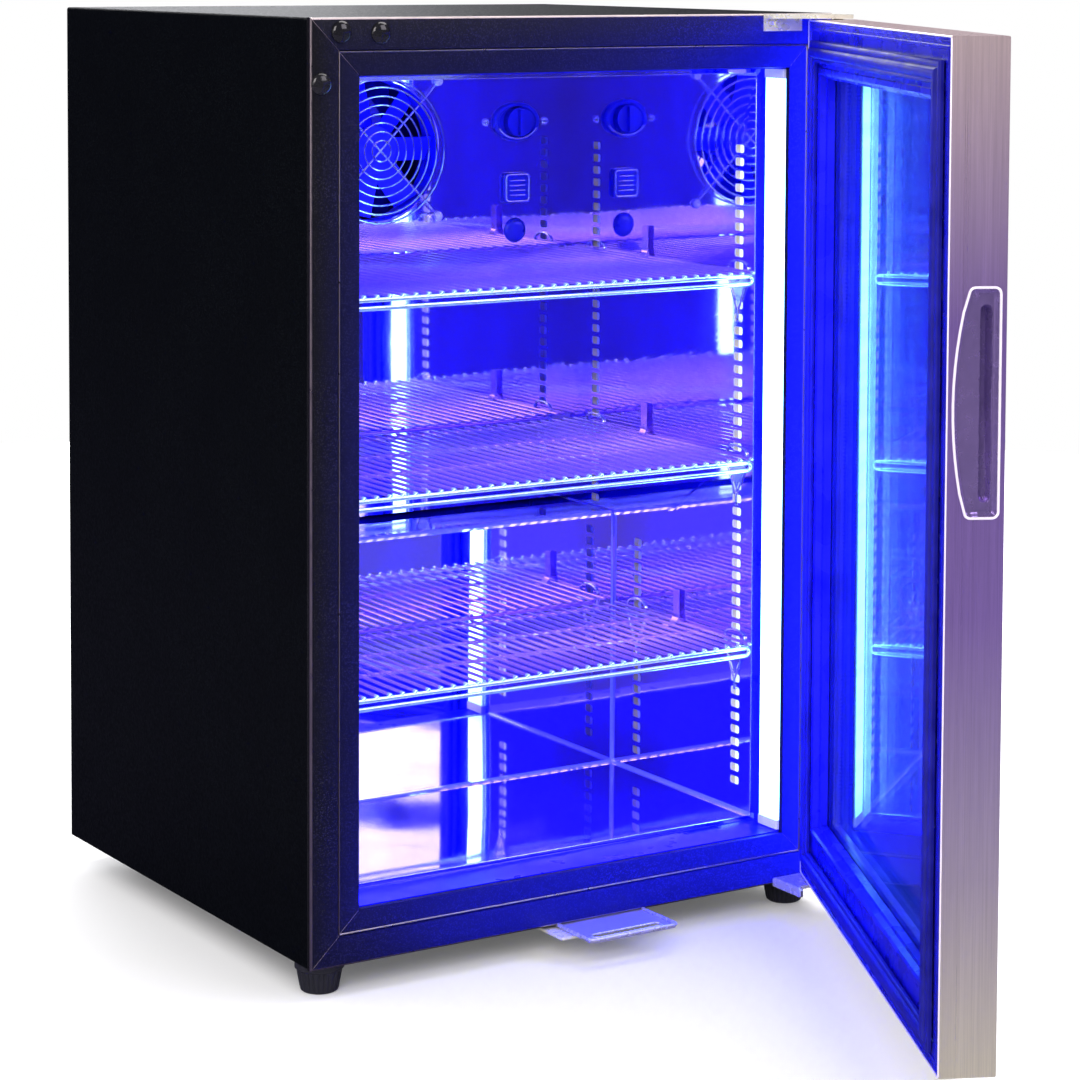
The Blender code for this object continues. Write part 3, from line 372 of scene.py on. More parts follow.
class Shader:
    """A node material with a Principled surface and a few shorthands."""

    def __init__(self, name, colour, roughness, metallic=0.0, specular=0.5):
        self.material = bpy.data.materials.new(name)
        self.material.use_nodes = True
        self.tree = self.material.node_tree
        self.surface = self.tree.nodes["Principled BSDF"]
        self.output = self.tree.nodes["Material Output"]
        self.set("Base Color", (*colour, 1.0))
        self.set("Roughness", roughness)
        self.set("Metallic", metallic)
        self.set("Specular IOR Level", specular)
        self.place = self.node("ShaderNodeTexCoord").outputs["Object"]

    def set(self, socket, value):
        """Set an input of the Principled surface."""
        self.surface.inputs[socket].default_value = value

    def node(self, kind, **values):
        """Add a node; a value that is an output is linked, any other is set."""
        made = self.tree.nodes.new(kind)
        for key, value in values.items():
            target = made.inputs.get(key.replace("_", " ")) if key[0].isupper() else None
            if target is None:
                setattr(made, key, value)
            elif isinstance(value, bpy.types.NodeSocket):
                self.tree.links.new(value, target)
            else:
                target.default_value = value
        return made

    def join(self, output, socket):
        """Link an output to an input."""
        self.tree.links.new(output, socket)

    def stretch(self, scale):
        """Object coordinates scaled per axis, for grain with a direction."""
        return self.node("ShaderNodeMapping", Vector=self.place, Scale=scale).outputs[0]

    def noise(self, scale, detail=3.0, vector=None):
        """Soft noise, at object coordinates unless given others."""
        vector = vector or self.place
        made = self.node("ShaderNodeTexNoise", Scale=scale, Detail=detail, Vector=vector)
        return made.outputs["Fac"]

    def remap(self, source, low, high, from_low=0.3, from_high=0.7):
        """Stretch an output to a range, by default from the middle of a noise."""
        ends = {"From_Min": from_low, "From_Max": from_high, "To_Min": low, "To_Max": high}
        return self.node("ShaderNodeMapRange", Value=source, **ends).outputs["Result"]

    def math(self, operation, first, second):
        """One arithmetic step of an output with another output or a number."""
        made = self.node("ShaderNodeMath", operation=operation)
        self.join(first, made.inputs[0])
        if isinstance(second, bpy.types.NodeSocket):
            self.join(second, made.inputs[1])
        else:
            made.inputs[1].default_value = second
        return made.outputs[0]

    def cells(self, scale, randomness=1.0):
        """Distance to the nearest of many small cell centres."""
        values = {"Scale": scale, "Randomness": randomness, "Vector": self.place}
        return self.node("ShaderNodeTexVoronoi", **values).outputs["Distance"]

    def part_of(self, vector, axis):
        """One axis of a vector output."""
        return self.node("ShaderNodeSeparateXYZ", Vector=vector).outputs[axis]

    def closure(self, kind, colour):
        """Another surface shader of one colour, as its node."""
        return self.node(f"ShaderNode{kind}", Color=(*colour, 1.0))

    def mix_surfaces(self, share, first, second):
        """Mix two surface shaders, the second by the given share."""
        made = self.node("ShaderNodeMixShader")
        for source, target in zip((share, first, second), made.inputs):
            self.join(source, target)
        return made.outputs[0]

    def finish(self, surface):
        """Make another surface shader the material's output."""
        self.join(surface, self.output.inputs["Surface"])
        return self.material

    def vary_roughness(self, source, low, high):
        """Let a noise drive the surface's roughness."""
        self.join(self.remap(source, low, high), self.surface.inputs["Roughness"])

    def vary_colour(self, source, first, second):
        """Mix the surface's colour between two by an output."""
        made = self.node("ShaderNodeMix", data_type="RGBA")
        self.join(source, made.inputs[0])
        made.inputs[6].default_value = (*first, 1.0)
        made.inputs[7].default_value = (*second, 1.0)
        self.join(made.outputs[2], self.surface.inputs["Base Color"])
        return made.outputs[2]

    def bump(self, source, distance, strength, under=None):
        """Bump the surface by a height, over an earlier bump where given."""
        made = self.node("ShaderNodeBump", Height=source, Distance=distance, Strength=strength)
        if under is not None:
            self.join(under, made.inputs["Normal"])
        self.join(made.outputs["Normal"], self.surface.inputs["Normal"])
        return made.outputs["Normal"]


def powder_coat(name, colour, lighter, roughness, specular):
    """Black powder coat: orange peel with fine lighter grains."""
    s = Shader(name, colour, roughness, specular=specular)
    peel = s.noise(420.0, 2.0)
    grains = s.cells(780.0)
    spots = s.remap(grains, 1.0, 0.0, 0.05, 0.42)
    patches = s.remap(s.remap(s.noise(14.0), 0.0, 1.0), 0.35, 1.0, 0.0, 1.0)
    s.vary_colour(s.math("MULTIPLY", spots, patches), colour, lighter)
    s.vary_roughness(peel, roughness - 0.08, roughness + 0.10)
    normal = s.bump(peel, 0.00025, 0.55)
    s.bump(grains, 0.00010, 0.5, normal)
    return s.material


def moulded_plastic(name, colour, roughness, specular=0.45):
    """Dark moulded plastic with a faint spark-eroded grain."""
    s = Shader(name, colour, roughness, specular=specular)
    grain = s.noise(900.0, 2.0)
    cloud = s.noise(24.0)
    lighter = [min(1.0, c * 1.5 + 0.004) for c in colour]
    s.vary_colour(s.remap(cloud, 0.0, 1.0), colour, lighter)
    s.vary_roughness(cloud, roughness - 0.06, roughness + 0.08)
    s.bump(grain, 0.00008, 0.35)
    return s.material


def polished_liner(name, wave_height, haze_share, haze_colour=(0.002, 0.006, 0.80)):
    """Mirror-polished steel: slow waves in the sheet and a soft haze lit by the light bars; the haze's blue
    colour is their light painted in.
    """
    s = Shader(name, (0.80, 0.68, 0.95), 0.03, 1.0)
    wave = s.noise(6.5, 1.5, s.stretch((1.0, 1.0, 0.6)))
    s.bump(wave, wave_height, 0.9)
    smear = s.noise(30.0, 4.0, s.stretch((1.0, 1.0, 0.35)))
    s.vary_roughness(smear, 0.015, 0.05)
    haze = s.closure("BsdfDiffuse", haze_colour)
    share = s.remap(smear, haze_share - 0.05, haze_share + 0.05)
    return s.finish(s.mix_surfaces(share, s.surface.outputs[0], haze.outputs[0]))


def chrome(name, colour, low, high, metallic=1.0):
    """Plated wire or trim with light handling marks."""
    s = Shader(name, colour, low, metallic)
    marks = s.noise(160.0, 3.0)
    s.vary_roughness(marks, low, high)
    darker = [c * 0.92 for c in colour]
    s.vary_colour(s.remap(s.noise(48.0), 0.0, 1.0), darker, colour)
    s.bump(marks, 0.00004, 0.3)
    return s.material


def glowing_chrome(name, glare_colour, glare):
    """Bright plated wire; the glare of the light bars is painted on as emission."""
    s = Shader(name, (0.85, 0.90, 1.0), 0.12, 1.0)
    marks = s.noise(160.0, 3.0)
    s.vary_roughness(marks, 0.08, 0.20)
    s.bump(marks, 0.00004, 0.3)
    # Painted glow: emission in the light bars' colour.
    s.set("Emission Color", (*glare_colour, 1.0))
    s.join(s.remap(marks, glare * 0.7, glare * 1.2), s.surface.inputs["Emission Strength"])
    return s.material


def brushed_steel(name):
    """Upright brushing, warm at the ends and cooler in the middle of the height: a reflection painted into
    the colour, on every side of the door.
    """
    s = Shader(name, (0.50, 0.45, 0.46), 0.3, 0.72)
    grain = s.noise(1.0, 4.0, s.stretch((1500.0, 1500.0, 14.0)))
    coarse = s.noise(1.0, 2.0, s.stretch((260.0, 260.0, 3.0)))
    # Painted reflection: the colour runs by height, warm, violet, warm.
    ramp = s.node("ShaderNodeValToRGB")
    s.join(s.remap(s.part_of(s.place, "Z"), 0.0, 1.0, 0.0, BODY_TOP), ramp.inputs[0])
    stops = (
        (0.0, (0.88, 0.82, 0.60)),
        (0.20, (0.52, 0.44, 0.54)),
        (0.45, (0.31, 0.20, 0.53)),
        (0.72, (0.29, 0.18, 0.52)),
        (1.0, (0.76, 0.60, 0.59)),
    )
    ramp.color_ramp.elements[0].position = stops[0][0]
    ramp.color_ramp.elements[0].color = (*stops[0][1], 1.0)
    ramp.color_ramp.elements[1].position = stops[-1][0]
    ramp.color_ramp.elements[1].color = (*stops[-1][1], 1.0)
    for place, colour in stops[1:-1]:
        ramp.color_ramp.elements.new(place).color = (*colour, 1.0)
    shade = s.node("ShaderNodeMix", data_type="RGBA", blend_type="MULTIPLY")
    shade.inputs[0].default_value = 1.0
    s.join(ramp.outputs[0], shade.inputs[6])
    grey = s.node("ShaderNodeCombineColor")
    tone = s.remap(grain, 0.88, 1.06)
    for channel in range(3):
        s.join(tone, grey.inputs[channel])
    s.join(grey.outputs[0], shade.inputs[7])
    s.join(shade.outputs[2], s.surface.inputs["Base Color"])
    s.vary_roughness(coarse, 0.26, 0.40)
    s.bump(grain, 0.00003, 0.25)
    return s.material


def soft_rubber(name):
    """Magnetic seal: matt vinyl with a slight surface haze; its deep blue is the light bars' light painted
    into the colour.
    """
    s = Shader(name, (0.004, 0.004, 0.200), 0.5, specular=0.2)
    bloom_and_blue_glow = s.noise(60.0, 4.0)
    s.vary_colour(s.remap(bloom_and_blue_glow, 0.0, 1.0), (0.003, 0.003, 0.160), (0.008, 0.008, 0.260))
    s.vary_roughness(bloom_and_blue_glow, 0.38, 0.58)
    s.bump(s.noise(500.0, 2.0), 0.00006, 0.4)
    return s.material


def tinted_glass(name):
    """Coated pane: blue tint in transmission, mirror reflection by angle, and a painted blue glow that only
    the camera sees.
    """
    s = Shader(name, (0.5, 0.5, 0.9), 0.0)
    seen = s.node("ShaderNodeLightPath").outputs["Is Camera Ray"]
    tint = s.vary_colour(seen, (0.985, 0.99, 1.0), (0.75, 0.74, 0.96))
    clear = s.node("ShaderNodeBsdfTransparent", Color=tint)
    shine = s.closure("BsdfGlossy", (0.62, 0.95, 1.0))
    smears = s.noise(36.0, 4.0, s.stretch((1.0, 1.0, 0.3)))
    s.join(s.remap(smears, 0.0, 0.03), shine.inputs["Roughness"])
    behind = s.node("ShaderNodeNewGeometry").outputs["Backfacing"]
    index = s.remap(behind, GLASS_INDEX, 1 / GLASS_INDEX, 0.0, 1.0)
    facing = s.node("ShaderNodeFresnel", IOR=index)
    lift = s.math("ADD", facing.outputs[0], s.remap(smears, 0.0, 0.02))
    pane = s.mix_surfaces(lift, clear.outputs[0], shine.outputs[0])
    # Painted light: a faint deep-blue diffuse layer, seen only by camera rays, stands for the light bars'
    # glow on the pane.
    bloom_and_blue_glow = s.closure("BsdfDiffuse", (0.010, 0.020, 0.700))
    blue_glow_share = s.math("MULTIPLY", s.remap(smears, 0.035, 0.065), seen)
    return s.finish(s.mix_surfaces(blue_glow_share, pane, bloom_and_blue_glow.outputs[0]))


def light_bar(name, low_z, high_z):
    """Opal diffuser: seen as near-white, and lights its surroundings deep blue."""
    s = Shader(name, (0.7, 0.85, 1.0), 0.4)
    path = s.node("ShaderNodeLightPath")
    seen = s.math("MAXIMUM", path.outputs["Is Camera Ray"], path.outputs["Is Glossy Ray"])
    height = s.part_of(s.place, "Z")
    fade_low = s.remap(height, 0.35, 1.0, low_z, low_z + 0.030)
    fade_high = s.remap(height, 1.0, 0.35, high_z - 0.030, high_z)
    dots = s.remap(s.noise(90.0, 1.0, s.stretch((0.0, 0.0, 1.0))), 0.85, 1.15)
    level = s.math("MULTIPLY", s.math("MULTIPLY", fade_low, fade_high), dots)
    normal = s.node("ShaderNodeNewGeometry").outputs["Normal"]
    across = s.node("ShaderNodeMath", operation="ABSOLUTE")
    s.join(s.part_of(normal, "X"), across.inputs[0])
    broad_side = s.remap(across.outputs[0], 0.08, 1.0, 0.0, 1.0)
    bright = s.math("MULTIPLY", s.math("MAXIMUM", broad_side, path.outputs["Is Camera Ray"]), LIGHT_BAR_SEEN)
    visible = s.closure("Emission", (0.36, 0.78, 1.0))
    s.join(s.math("MULTIPLY", level, bright), visible.inputs["Strength"])
    casting = s.closure("Emission", (0.003, 0.018, 1.0))
    casting.inputs["Strength"].default_value = LIGHT_BAR_CAST
    return s.finish(s.mix_surfaces(seen, casting.outputs[0], visible.outputs[0]))


def perforated_spacer(name):
    """Aluminium spacer with two rows of small holes along its run, painted dark for the shade inside them."""
    s = Shader(name, (0.62, 0.64, 0.80), 0.35, 1.0)
    holes = s.cells(340.0, 0.0)
    s.vary_colour(s.remap(holes, 1.0, 0.0, 0.22, 0.34), (0.62, 0.64, 0.80), (0.05, 0.05, 0.12))
    s.vary_roughness(s.noise(80.0), 0.28, 0.45)
    s.bump(holes, 0.0002, 0.6)
    return s.material


def rigid_foam(name):
    """Cut polyurethane foam with open cells."""
    s = Shader(name, (0.72, 0.62, 0.36), 0.9)
    s.vary_colour(s.remap(s.noise(40.0), 0.0, 1.0), (0.60, 0.50, 0.28), (0.78, 0.70, 0.44))
    s.vary_roughness(s.noise(90.0), 0.8, 0.98)
    s.bump(s.cells(700.0), 0.0006, 0.7)
    return s.material


def gloss_paint(name, colour):
    """Dipped black enamel of the compressor and condenser."""
    s = Shader(name, colour, 0.25, specular=0.5)
    runs = s.noise(30.0, 3.0, s.stretch((1.0, 1.0, 0.4)))
    s.vary_colour(s.remap(runs, 0.0, 1.0), colour, [c * 2.2 for c in colour])
    s.vary_roughness(runs, 0.16, 0.36)
    s.bump(runs, 0.0004, 0.3)
    return s.material


def lit_slot_backing(name, strength):
    """Pale foam seen through the punched slots; the light of the bar beside it is painted on as emission."""
    s = Shader(name, (0.55, 0.58, 0.70), 0.8)
    cells = s.noise(420.0, 3.0)
    s.vary_colour(s.remap(cells, 0.0, 1.0), (0.50, 0.54, 0.68), (0.62, 0.65, 0.76))
    s.vary_roughness(cells, 0.7, 0.9)
    s.bump(cells, 0.0003, 0.5)
    # Painted glow: emission stands for the light bar's light on the foam.
    s.set("Emission Color", (0.62, 0.80, 1.0, 1.0))
    s.set("Emission Strength", strength)
    return s.material


CHARCOAL, CHARCOAL_GRAIN = (0.020, 0.021, 0.024), (0.045, 0.047, 0.052)
COAT_BLACK, COAT_GRAIN = (0.0010, 0.0018, 0.0028), (0.0065, 0.0095, 0.0125)
FACE_BLACK, FACE_GRAIN = (0.0045, 0.0045, 0.0060), (0.026, 0.024, 0.030)


def make_paints():
    """Every material, by the short name that the sub-parts use."""
    return {
        "powder_back": powder_coat("powder_coat_charcoal", CHARCOAL, CHARCOAL_GRAIN, 0.55, 0.30),
        "powder": powder_coat("powder_coat_black", COAT_BLACK, COAT_GRAIN, 0.55, 0.06),
        "face": powder_coat("face_frame_black", FACE_BLACK, FACE_GRAIN, 0.42, 0.16),
        # edge: a lighter, shinier copy of the face frame's coat, a painted highlight on its rounded edges,
        # the groove's bead and the mitre seams.
        "edge": chrome("powder_edge_painted_highlight", (0.42, 0.36, 0.36), 0.26, 0.42),
        "gloss": moulded_plastic("gloss_cap_plastic", (0.006, 0.006, 0.007), 0.12, 0.6),
        # Painted light: the deep blue of the cold-side and fan plastics is the light bars' light put into
        # their colours.
        "cold_plastic": moulded_plastic("cold_side_plastic", (0.010, 0.010, 0.200), 0.30),
        "fan_plastic": moulded_plastic("fan_plastic", (0.014, 0.014, 0.800), 0.40),
        "lit_slot": lit_slot_backing("lit_slot_foam", 1.1),
        "dim_slot": lit_slot_backing("dim_slot_foam", 0.02),
        "plastic": moulded_plastic("moulded_black", (0.012, 0.012, 0.018), 0.34),
        # Painted light: the collar's and the door trim's deep blue is the light bars' light put into their
        # colours.
        "collar": moulded_plastic("collar_plastic", (0.003, 0.004, 0.420), 0.30, 0.15),
        "trim": moulded_plastic("door_trim_plastic", (0.003, 0.003, 0.260), 0.26, 0.22),
        "pale": moulded_plastic("led_socket_plastic", (0.55, 0.56, 0.60), 0.5),
        # mirror and mirror_panel: their haze's deep blue is the light bars' light painted in. fold: a
        # lighter, hazier copy, a painted highlight along the liner's bends.
        "mirror": polished_liner("mirror_liner", 0.0005, 0.17),
        "mirror_panel": polished_liner("mirror_panel", 0.0010, 0.17),
        "fold": polished_liner("polished_fold_painted_highlight", 0.0002, 0.55, (0.30, 0.36, 1.0)),
        # Painted light: the shelf wire's violet is the light bars' blue and the room's reflection put into
        # its colour.
        "shelf_wire": chrome("shelf_wire_chrome", (0.66, 0.40, 0.90), 0.12, 0.24, 0.80),
        "wire": chrome("bright_wire", (0.82, 0.84, 0.95), 0.10, 0.22),
        "rail": glowing_chrome("lit_rail_chrome", (0.30, 0.62, 1.0), 0.45),
        "lip": glowing_chrome("lit_lip_chrome", (0.45, 0.80, 1.0), 1.0),
        # pull: its violet is a painted reflection. pull_edge: a lighter copy, a painted highlight on the
        # pull's rim and the door's folded lip.
        "pull": chrome("polished_trim", (0.38, 0.27, 0.62), 0.18, 0.30, 0.80),
        "pull_edge": chrome("trim_edge_painted_highlight", (0.92, 0.84, 0.95), 0.16, 0.26, 0.30),
        "nickel": chrome("plated_bracket", (0.90, 0.87, 0.72), 0.22, 0.38, 0.45),
        "zinc": chrome("plated_strike", (0.36, 0.35, 0.56), 0.30, 0.38, 0.45),
        # zinc_edge: a lighter copy of the zinc, a painted highlight on the strike's rims; the bottom bracket
        # is painted in it too.
        "zinc_edge": chrome("plated_strike_rim", (0.62, 0.60, 0.82), 0.22, 0.32, 0.60),
        "brushed": brushed_steel("brushed_door_steel"),
        "rubber": soft_rubber("gasket_vinyl"),
        "glass": tinted_glass("coated_glass"),
        "light": light_bar("opal_led", OPEN_LOW, OPEN_HIGH),
        "spacer": perforated_spacer("perforated_aluminium"),
        "aluminium": chrome("rolled_aluminium", (0.70, 0.71, 0.75), 0.30, 0.46),
        "foam": rigid_foam("foam_polyurethane"),
        "enamel": gloss_paint("black_enamel", (0.010, 0.010, 0.011)),
    }


# ------------------------------------------------------------------- cabinet

FRAME_SPLIT = 0.0225
FRAME_STEP = 0.0012
EDGE_R = 0.0015


def face_frame(paint, edge_paint):
    """Four mitred bars: rounded outer band, a groove and bead, a lower inner band and a return."""
    depth = FACE_BACK - FRONT
    left_band = SIDE - OPEN_X
    profile = [(0.0, depth), (0.0, EDGE_R)]
    profile += [(EDGE_R - EDGE_R * math.cos(a), EDGE_R - EDGE_R * math.sin(a)) for a in (0.4, 0.8, 1.2)]
    profile += [
        (EDGE_R, 0.0),
        (FRAME_SPLIT - 0.0009, 0.0),
        (FRAME_SPLIT - 0.0006, 0.0016),
        (FRAME_SPLIT, 0.0016),
        (FRAME_SPLIT + 0.0002, 0.0008),
        (FRAME_SPLIT + 0.0006, 0.0005),
        (FRAME_SPLIT + 0.0010, 0.0008),
        (FRAME_SPLIT + 0.0013, FRAME_STEP),
        (left_band - 0.0010, FRAME_STEP),
        (left_band - 0.0003, FRAME_STEP + 0.0003),
        (left_band, FRAME_STEP + 0.0012),
        (left_band, depth),
    ]
    # The edge's radius and the groove's bead take the lighter edge paint, a painted highlight.
    highlight_faces = (1, 2, 3, 4, 9, 10, 11)  # the edge's radius and the groove's bead
    corners = [(-SIDE, FACE_LOW.z), (SIDE, FACE_LOW.z), (SIDE, BODY_TOP), (-SIDE, BODY_TOP)]
    insides = [(-OPEN_X, OPEN_LOW), (OPEN_X, OPEN_LOW), (OPEN_X, OPEN_HIGH), (-OPEN_X, OPEN_HIGH)]
    names = ("face_frame_bottom", "face_frame_right", "face_frame_top", "face_frame_left")
    gap = 0.00012
    for i, name in enumerate(names):
        j = (i + 1) % 4
        bm = bmesh.new()
        loops = []
        for at, other in ((i, j), (j, i)):
            outer = Vector(corners[at])
            inner = Vector(insides[at])
            toward = (Vector(corners[other]) - outer).normalized() * gap
            loop = []
            for inset, y in profile:
                point = outer.lerp(inner, inset / left_band) + toward
                loop.append(bm.verts.new((point.x, FRONT + y, point.y)))
            loops.append(loop)
        bridge(bm, loops[0], loops[1])
        bm.faces.ensure_lookup_table()
        for k in highlight_faces:
            bm.faces[k].material_index = 1
        bm.faces.new(loops[0])
        bm.faces.new(loops[1])
        bar = finish_mesh(name, bm, paint)
        bar.data.materials.append(edge_paint)
        piece(bar, "cabinet", "black_powder_coat")
    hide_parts("front_frame")
    # Thin tubes along the mitres in the edge paint: painted highlight lines at the seams.
    bm = bmesh.new()
    shares = (0.03, FRAME_SPLIT / left_band, 0.97)
    for corner, inside in zip(corners, insides):
        start, split, end = [Vector(corner).lerp(Vector(inside), share) for share in shares]
        y = FRONT + 0.0002
        tube(bm, [(start.x, y, start.y), (split.x, y, split.y)], 0.0003, 6)
        y += FRAME_STEP
        tube(bm, [(split.x, y, split.y), (end.x, y, end.y)], 0.0003, 6)
    add_piece("face_frame_mitre_seams", bm, edge_paint, "cabinet", "black_powder_coat", smooth_deg=60)


def hole_caps(paint):
    """Domed snap plugs in the spare hinge holes."""
    for number in (1, 2, 3):
        centre = node_centre(f"hinge_hole_cap_{number}")
        radius = half_width(f"hinge_hole_cap_{number}")
        profile = domed(radius, 0.0006, 0.0030, 6) + [(radius, 0.0002), (0.0, 0.0002)]
        bm = bmesh.new()
        lathe(bm, profile, 40, facing_front(centre.x, FRONT, centre.z))
        add_piece(f"snap_cap_{number}", bm, paint, "cabinet", "dark_plastic", f"hinge_hole_cap_{number}")


SLOT_PITCH = 0.010
SLOT_W = 0.011
SLOT_H = 0.0062


def slot_columns():
    """(centre y, lowest z, highest z) of each punched column in a side wall."""
    front_y, rear_y, low_y = (node_centre(f"shelf_clip_{number}").y for number in (1, 2, 10))
    return (
        (front_y, FLOOR_Z + 0.024, CEILING_Z - 0.054),
        (rear_y, STEP_Z + 0.008, CEILING_Z - 0.060),
        (low_y, FLOOR_Z + 0.018, STEP_Z - 0.012),
    )


def liner_shell(paint, fold_paint):
    """Stepped polished tub with radiused folds, a front flange and punched slot columns."""
    path = [
        (LINER_Y, FLOOR_Z),
        (STEP_Y, FLOOR_Z),
        (STEP_Y, STEP_Z),
        (LINER_BACK, STEP_Z),
        (LINER_BACK, CEILING_Z),
        (LINER_Y, CEILING_Z),
    ]
    bm = bmesh.new()
    sides = [[bm.verts.new((x, y, z)) for y, z in path] for x in (-OPEN_X, OPEN_X)]
    for side in sides:
        bm.faces.new(side)
    for k in range(len(path) - 1):
        bm.faces.new((sides[0][k], sides[0][k + 1], sides[1][k + 1], sides[1][k]))
    folds = [edge for edge in bm.edges if len(edge.link_faces) == 2]
    rounded = bmesh.ops.bevel(bm, geom=folds, offset=0.0030, segments=3, profile=0.5, affect="EDGES")
    # The folds take the second paint, a painted highlight along the bends.
    for face in rounded["faces"]:
        face.material_index = 1
    rim = [edge for edge in bm.edges if len(edge.link_faces) == 1]
    grown = bmesh.ops.extrude_edge_only(bm, edges=rim)["geom"]
    middle = Vector((0.0, 0.0, (FLOOR_Z + CEILING_Z) / 2))
    half_z = (CEILING_Z - FLOOR_Z) / 2
    for vertex in (g for g in grown if isinstance(g, bmesh.types.BMVert)):
        offset = vertex.co - middle
        if abs(offset.x) > OPEN_X - 0.0035:
            vertex.co.x += math.copysign(0.0062, offset.x)
        if offset.z > half_z - 0.0035:
            vertex.co.z += 0.0062
        if offset.z < -half_z + 0.0035:
            vertex.co.z -= 0.0022
    tub = finish_mesh("liner_shell", bm, paint)
    tub.data.materials.append(fold_paint)
    sheet = tub.modifiers.new("sheet", "SOLIDIFY")
    sheet.thickness = 0.0009
    sheet.offset = -1.0 if tub.data.polygons[0].normal.x > 0 else 1.0
    bake(tub)
    bm = bmesh.new()
    for side in (-1, 1):
        for y, low, high in slot_columns():
            count = int((high - low) / SLOT_PITCH) + 1
            for k in range(count):
                z = low + SLOT_PITCH * k
                slot = oblong(y, z, SLOT_W / 2, SLOT_H / 2, 0.0012, 1)
                prism(bm, slot, -0.003, 0.003, facing_side(side * OPEN_X))
    cut(tub, bm)
    tub.data.shade_flat()
    piece(tub, "cabinet", "polished_liner", "liner")


def liner_lips(paint, top_paint):
    """Thin folded lips where the liner meets the collar, brightest under the top bar, where the light bars'
    glare is painted on as emission.
    """
    x = OPEN_X - 0.0006
    y = LINER_Y - 0.0006
    low, high = OPEN_LOW + 0.0040, OPEN_HIGH - 0.0012
    bm = bmesh.new()
    for side in (-1, 1):
        tube(bm, [(side * x, y, low), (side * x, y, high)], 0.0005, 8)
    tube(bm, [(-x, y, low), (x, y, low)], 0.0006, 8)
    add_piece("liner_lip", bm, paint, "cabinet", "polished_liner", smooth_deg=60)
    bm = bmesh.new()
    tube(bm, [(-x, y, high), (x, y, high)], 0.0009, 8)
    add_piece("liner_top_lip", bm, top_paint, "cabinet", "polished_liner", smooth_deg=60)


def slot_backings(lit, dim):
    """Foam faces behind the punched columns; the front ones carry the light bars' painted glow, the others a
    faint one.
    """
    for side, tag in ((-1, "left"), (1, "right")):
        for number, (y, low, high) in enumerate(slot_columns(), 1):
            bm = bmesh.new()
            x0, x1 = sorted((side * (OPEN_X + 0.0052), side * (OPEN_X + 0.0062)))
            block(bm, (x0, y - 0.0072, low - 0.006), (x1, y + 0.0072, high + 0.006))
            paint = lit if number == 1 else dim
            add_piece(f"slot_backing_{tag}_{number}", bm, paint, "cabinet", "dark_plastic", soft=0.0003)


def led_end_caps(paint):
    """Small moulded sockets at both ends of each light bar."""
    grow = 0.0006
    for tag in ("left", "right"):
        low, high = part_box(f"led_strip_{tag}")
        x0 = low.x - (grow if tag == "right" else 0.0)
        x1 = high.x + (grow if tag == "left" else 0.0)
        heights = (("low", low.z - 0.0008, low.z + 0.0065), ("high", high.z - 0.0065, high.z + 0.0008))
        for end, z0, z1 in heights:
            bm = bmesh.new()
            block(bm, (x0, low.y - grow, z0), (x1, high.y + grow, z1))
            add_piece(f"led_socket_{tag}_{end}", bm, paint, "cabinet", "dark_plastic", soft=0.0006)


def pan_screw(bm, matrix, radius):
    """A pan-head screw with a cross recess, its head towards local +Z."""
    profile = domed(radius, radius * 0.12, radius * 0.50, 5)
    profile += [(radius, -0.0002), (0.0, -0.0002)]
    lathe(bm, profile, 20, matrix)
    reach = radius * 0.55
    arm = radius * 0.11
    for u, v in ((reach, arm), (arm, reach)):
        prism(bm, [(-u, -v), (u, -v), (u, v), (-u, v)], radius * 0.50, radius * 0.66, matrix)


def screws(name, places, radius, paint):
    """A group of like screws of the cabinet, their heads to the front."""
    turn = Vector((0, -1, 0)).to_track_quat("Z", "X").to_matrix().to_4x4()
    bm = bmesh.new()
    for place in places:
        pan_screw(bm, Matrix.Translation(place) @ turn, radius)
    add_piece(name, bm, paint, "cabinet", "plated_steel", smooth_deg=45)


def strike_tray(paint, rim_paint):
    """Dished strike plate: rolled rim on three sides and a rimmed slot for the lock's cam."""
    low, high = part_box("strike_plate")
    x0 = low.x + 0.009
    x1 = high.x
    front = low.y
    top = high.z
    bm = bmesh.new()
    outline = rounded_rectangle(x0 + 0.0010, front + 0.0010, x1 - 0.0010, FRONT + 0.022, 0.004)
    prism(bm, outline, top - 0.0036, top - 0.0022)
    tray = finish_mesh("strike_tray", bm, paint)
    slot_y = front + 0.0115
    reach = (x1 - x0) * 0.39
    centre = (x0 + x1) / 2
    bm = bmesh.new()
    prism(bm, oblong(centre, slot_y, reach, 0.0040, 0.0039), -0.02, 0.02)
    cut(tray, bm)
    soften(tray, 0.0003)
    bake(tray)
    bm = bmesh.new()
    r = 0.0014
    z = top - r
    inner = 0.0040
    rim = [(x0 + r, FRONT - 0.0012, z)]
    rim += [(x, y, z) for x, y in arc(x0 + r + inner, front + r + inner, inner, inner, 180, 270, 6)]
    rim += [(x, y, z) for x, y in arc(x1 - r - inner, front + r + inner, inner, inner, 270, 360, 6)]
    rim.append((x1 - r, FRONT - 0.0012, z))
    tube(bm, rim, r, 10)
    ring = oblong(centre, slot_y, reach, 0.0042, 0.0041, 6)
    tube(bm, [(x, y, top - 0.0024) for x, y in ring], 0.0009, 8, closed=True)
    # The rims take the lighter rim paint: a painted highlight.
    rims = finish_mesh("strike_rims", bm, rim_paint, smooth_deg=0)
    rims.data.shade_smooth()
    bm = bmesh.new()
    outline = rounded_rectangle(low.x, FRONT - 0.022, x0 + 0.030, FRONT + 0.023, 0.002, 3)
    prism(bm, outline, low.z, low.z + 0.0020)
    strip = finish_mesh("strike_strip", bm, PAINTS["nickel"])
    soften(strip, 0.0003)
    piece(tray, "cabinet", "plated_steel", "strike_plate")
    for part in (rims, strip):
        piece(part, "cabinet", "plated_steel")


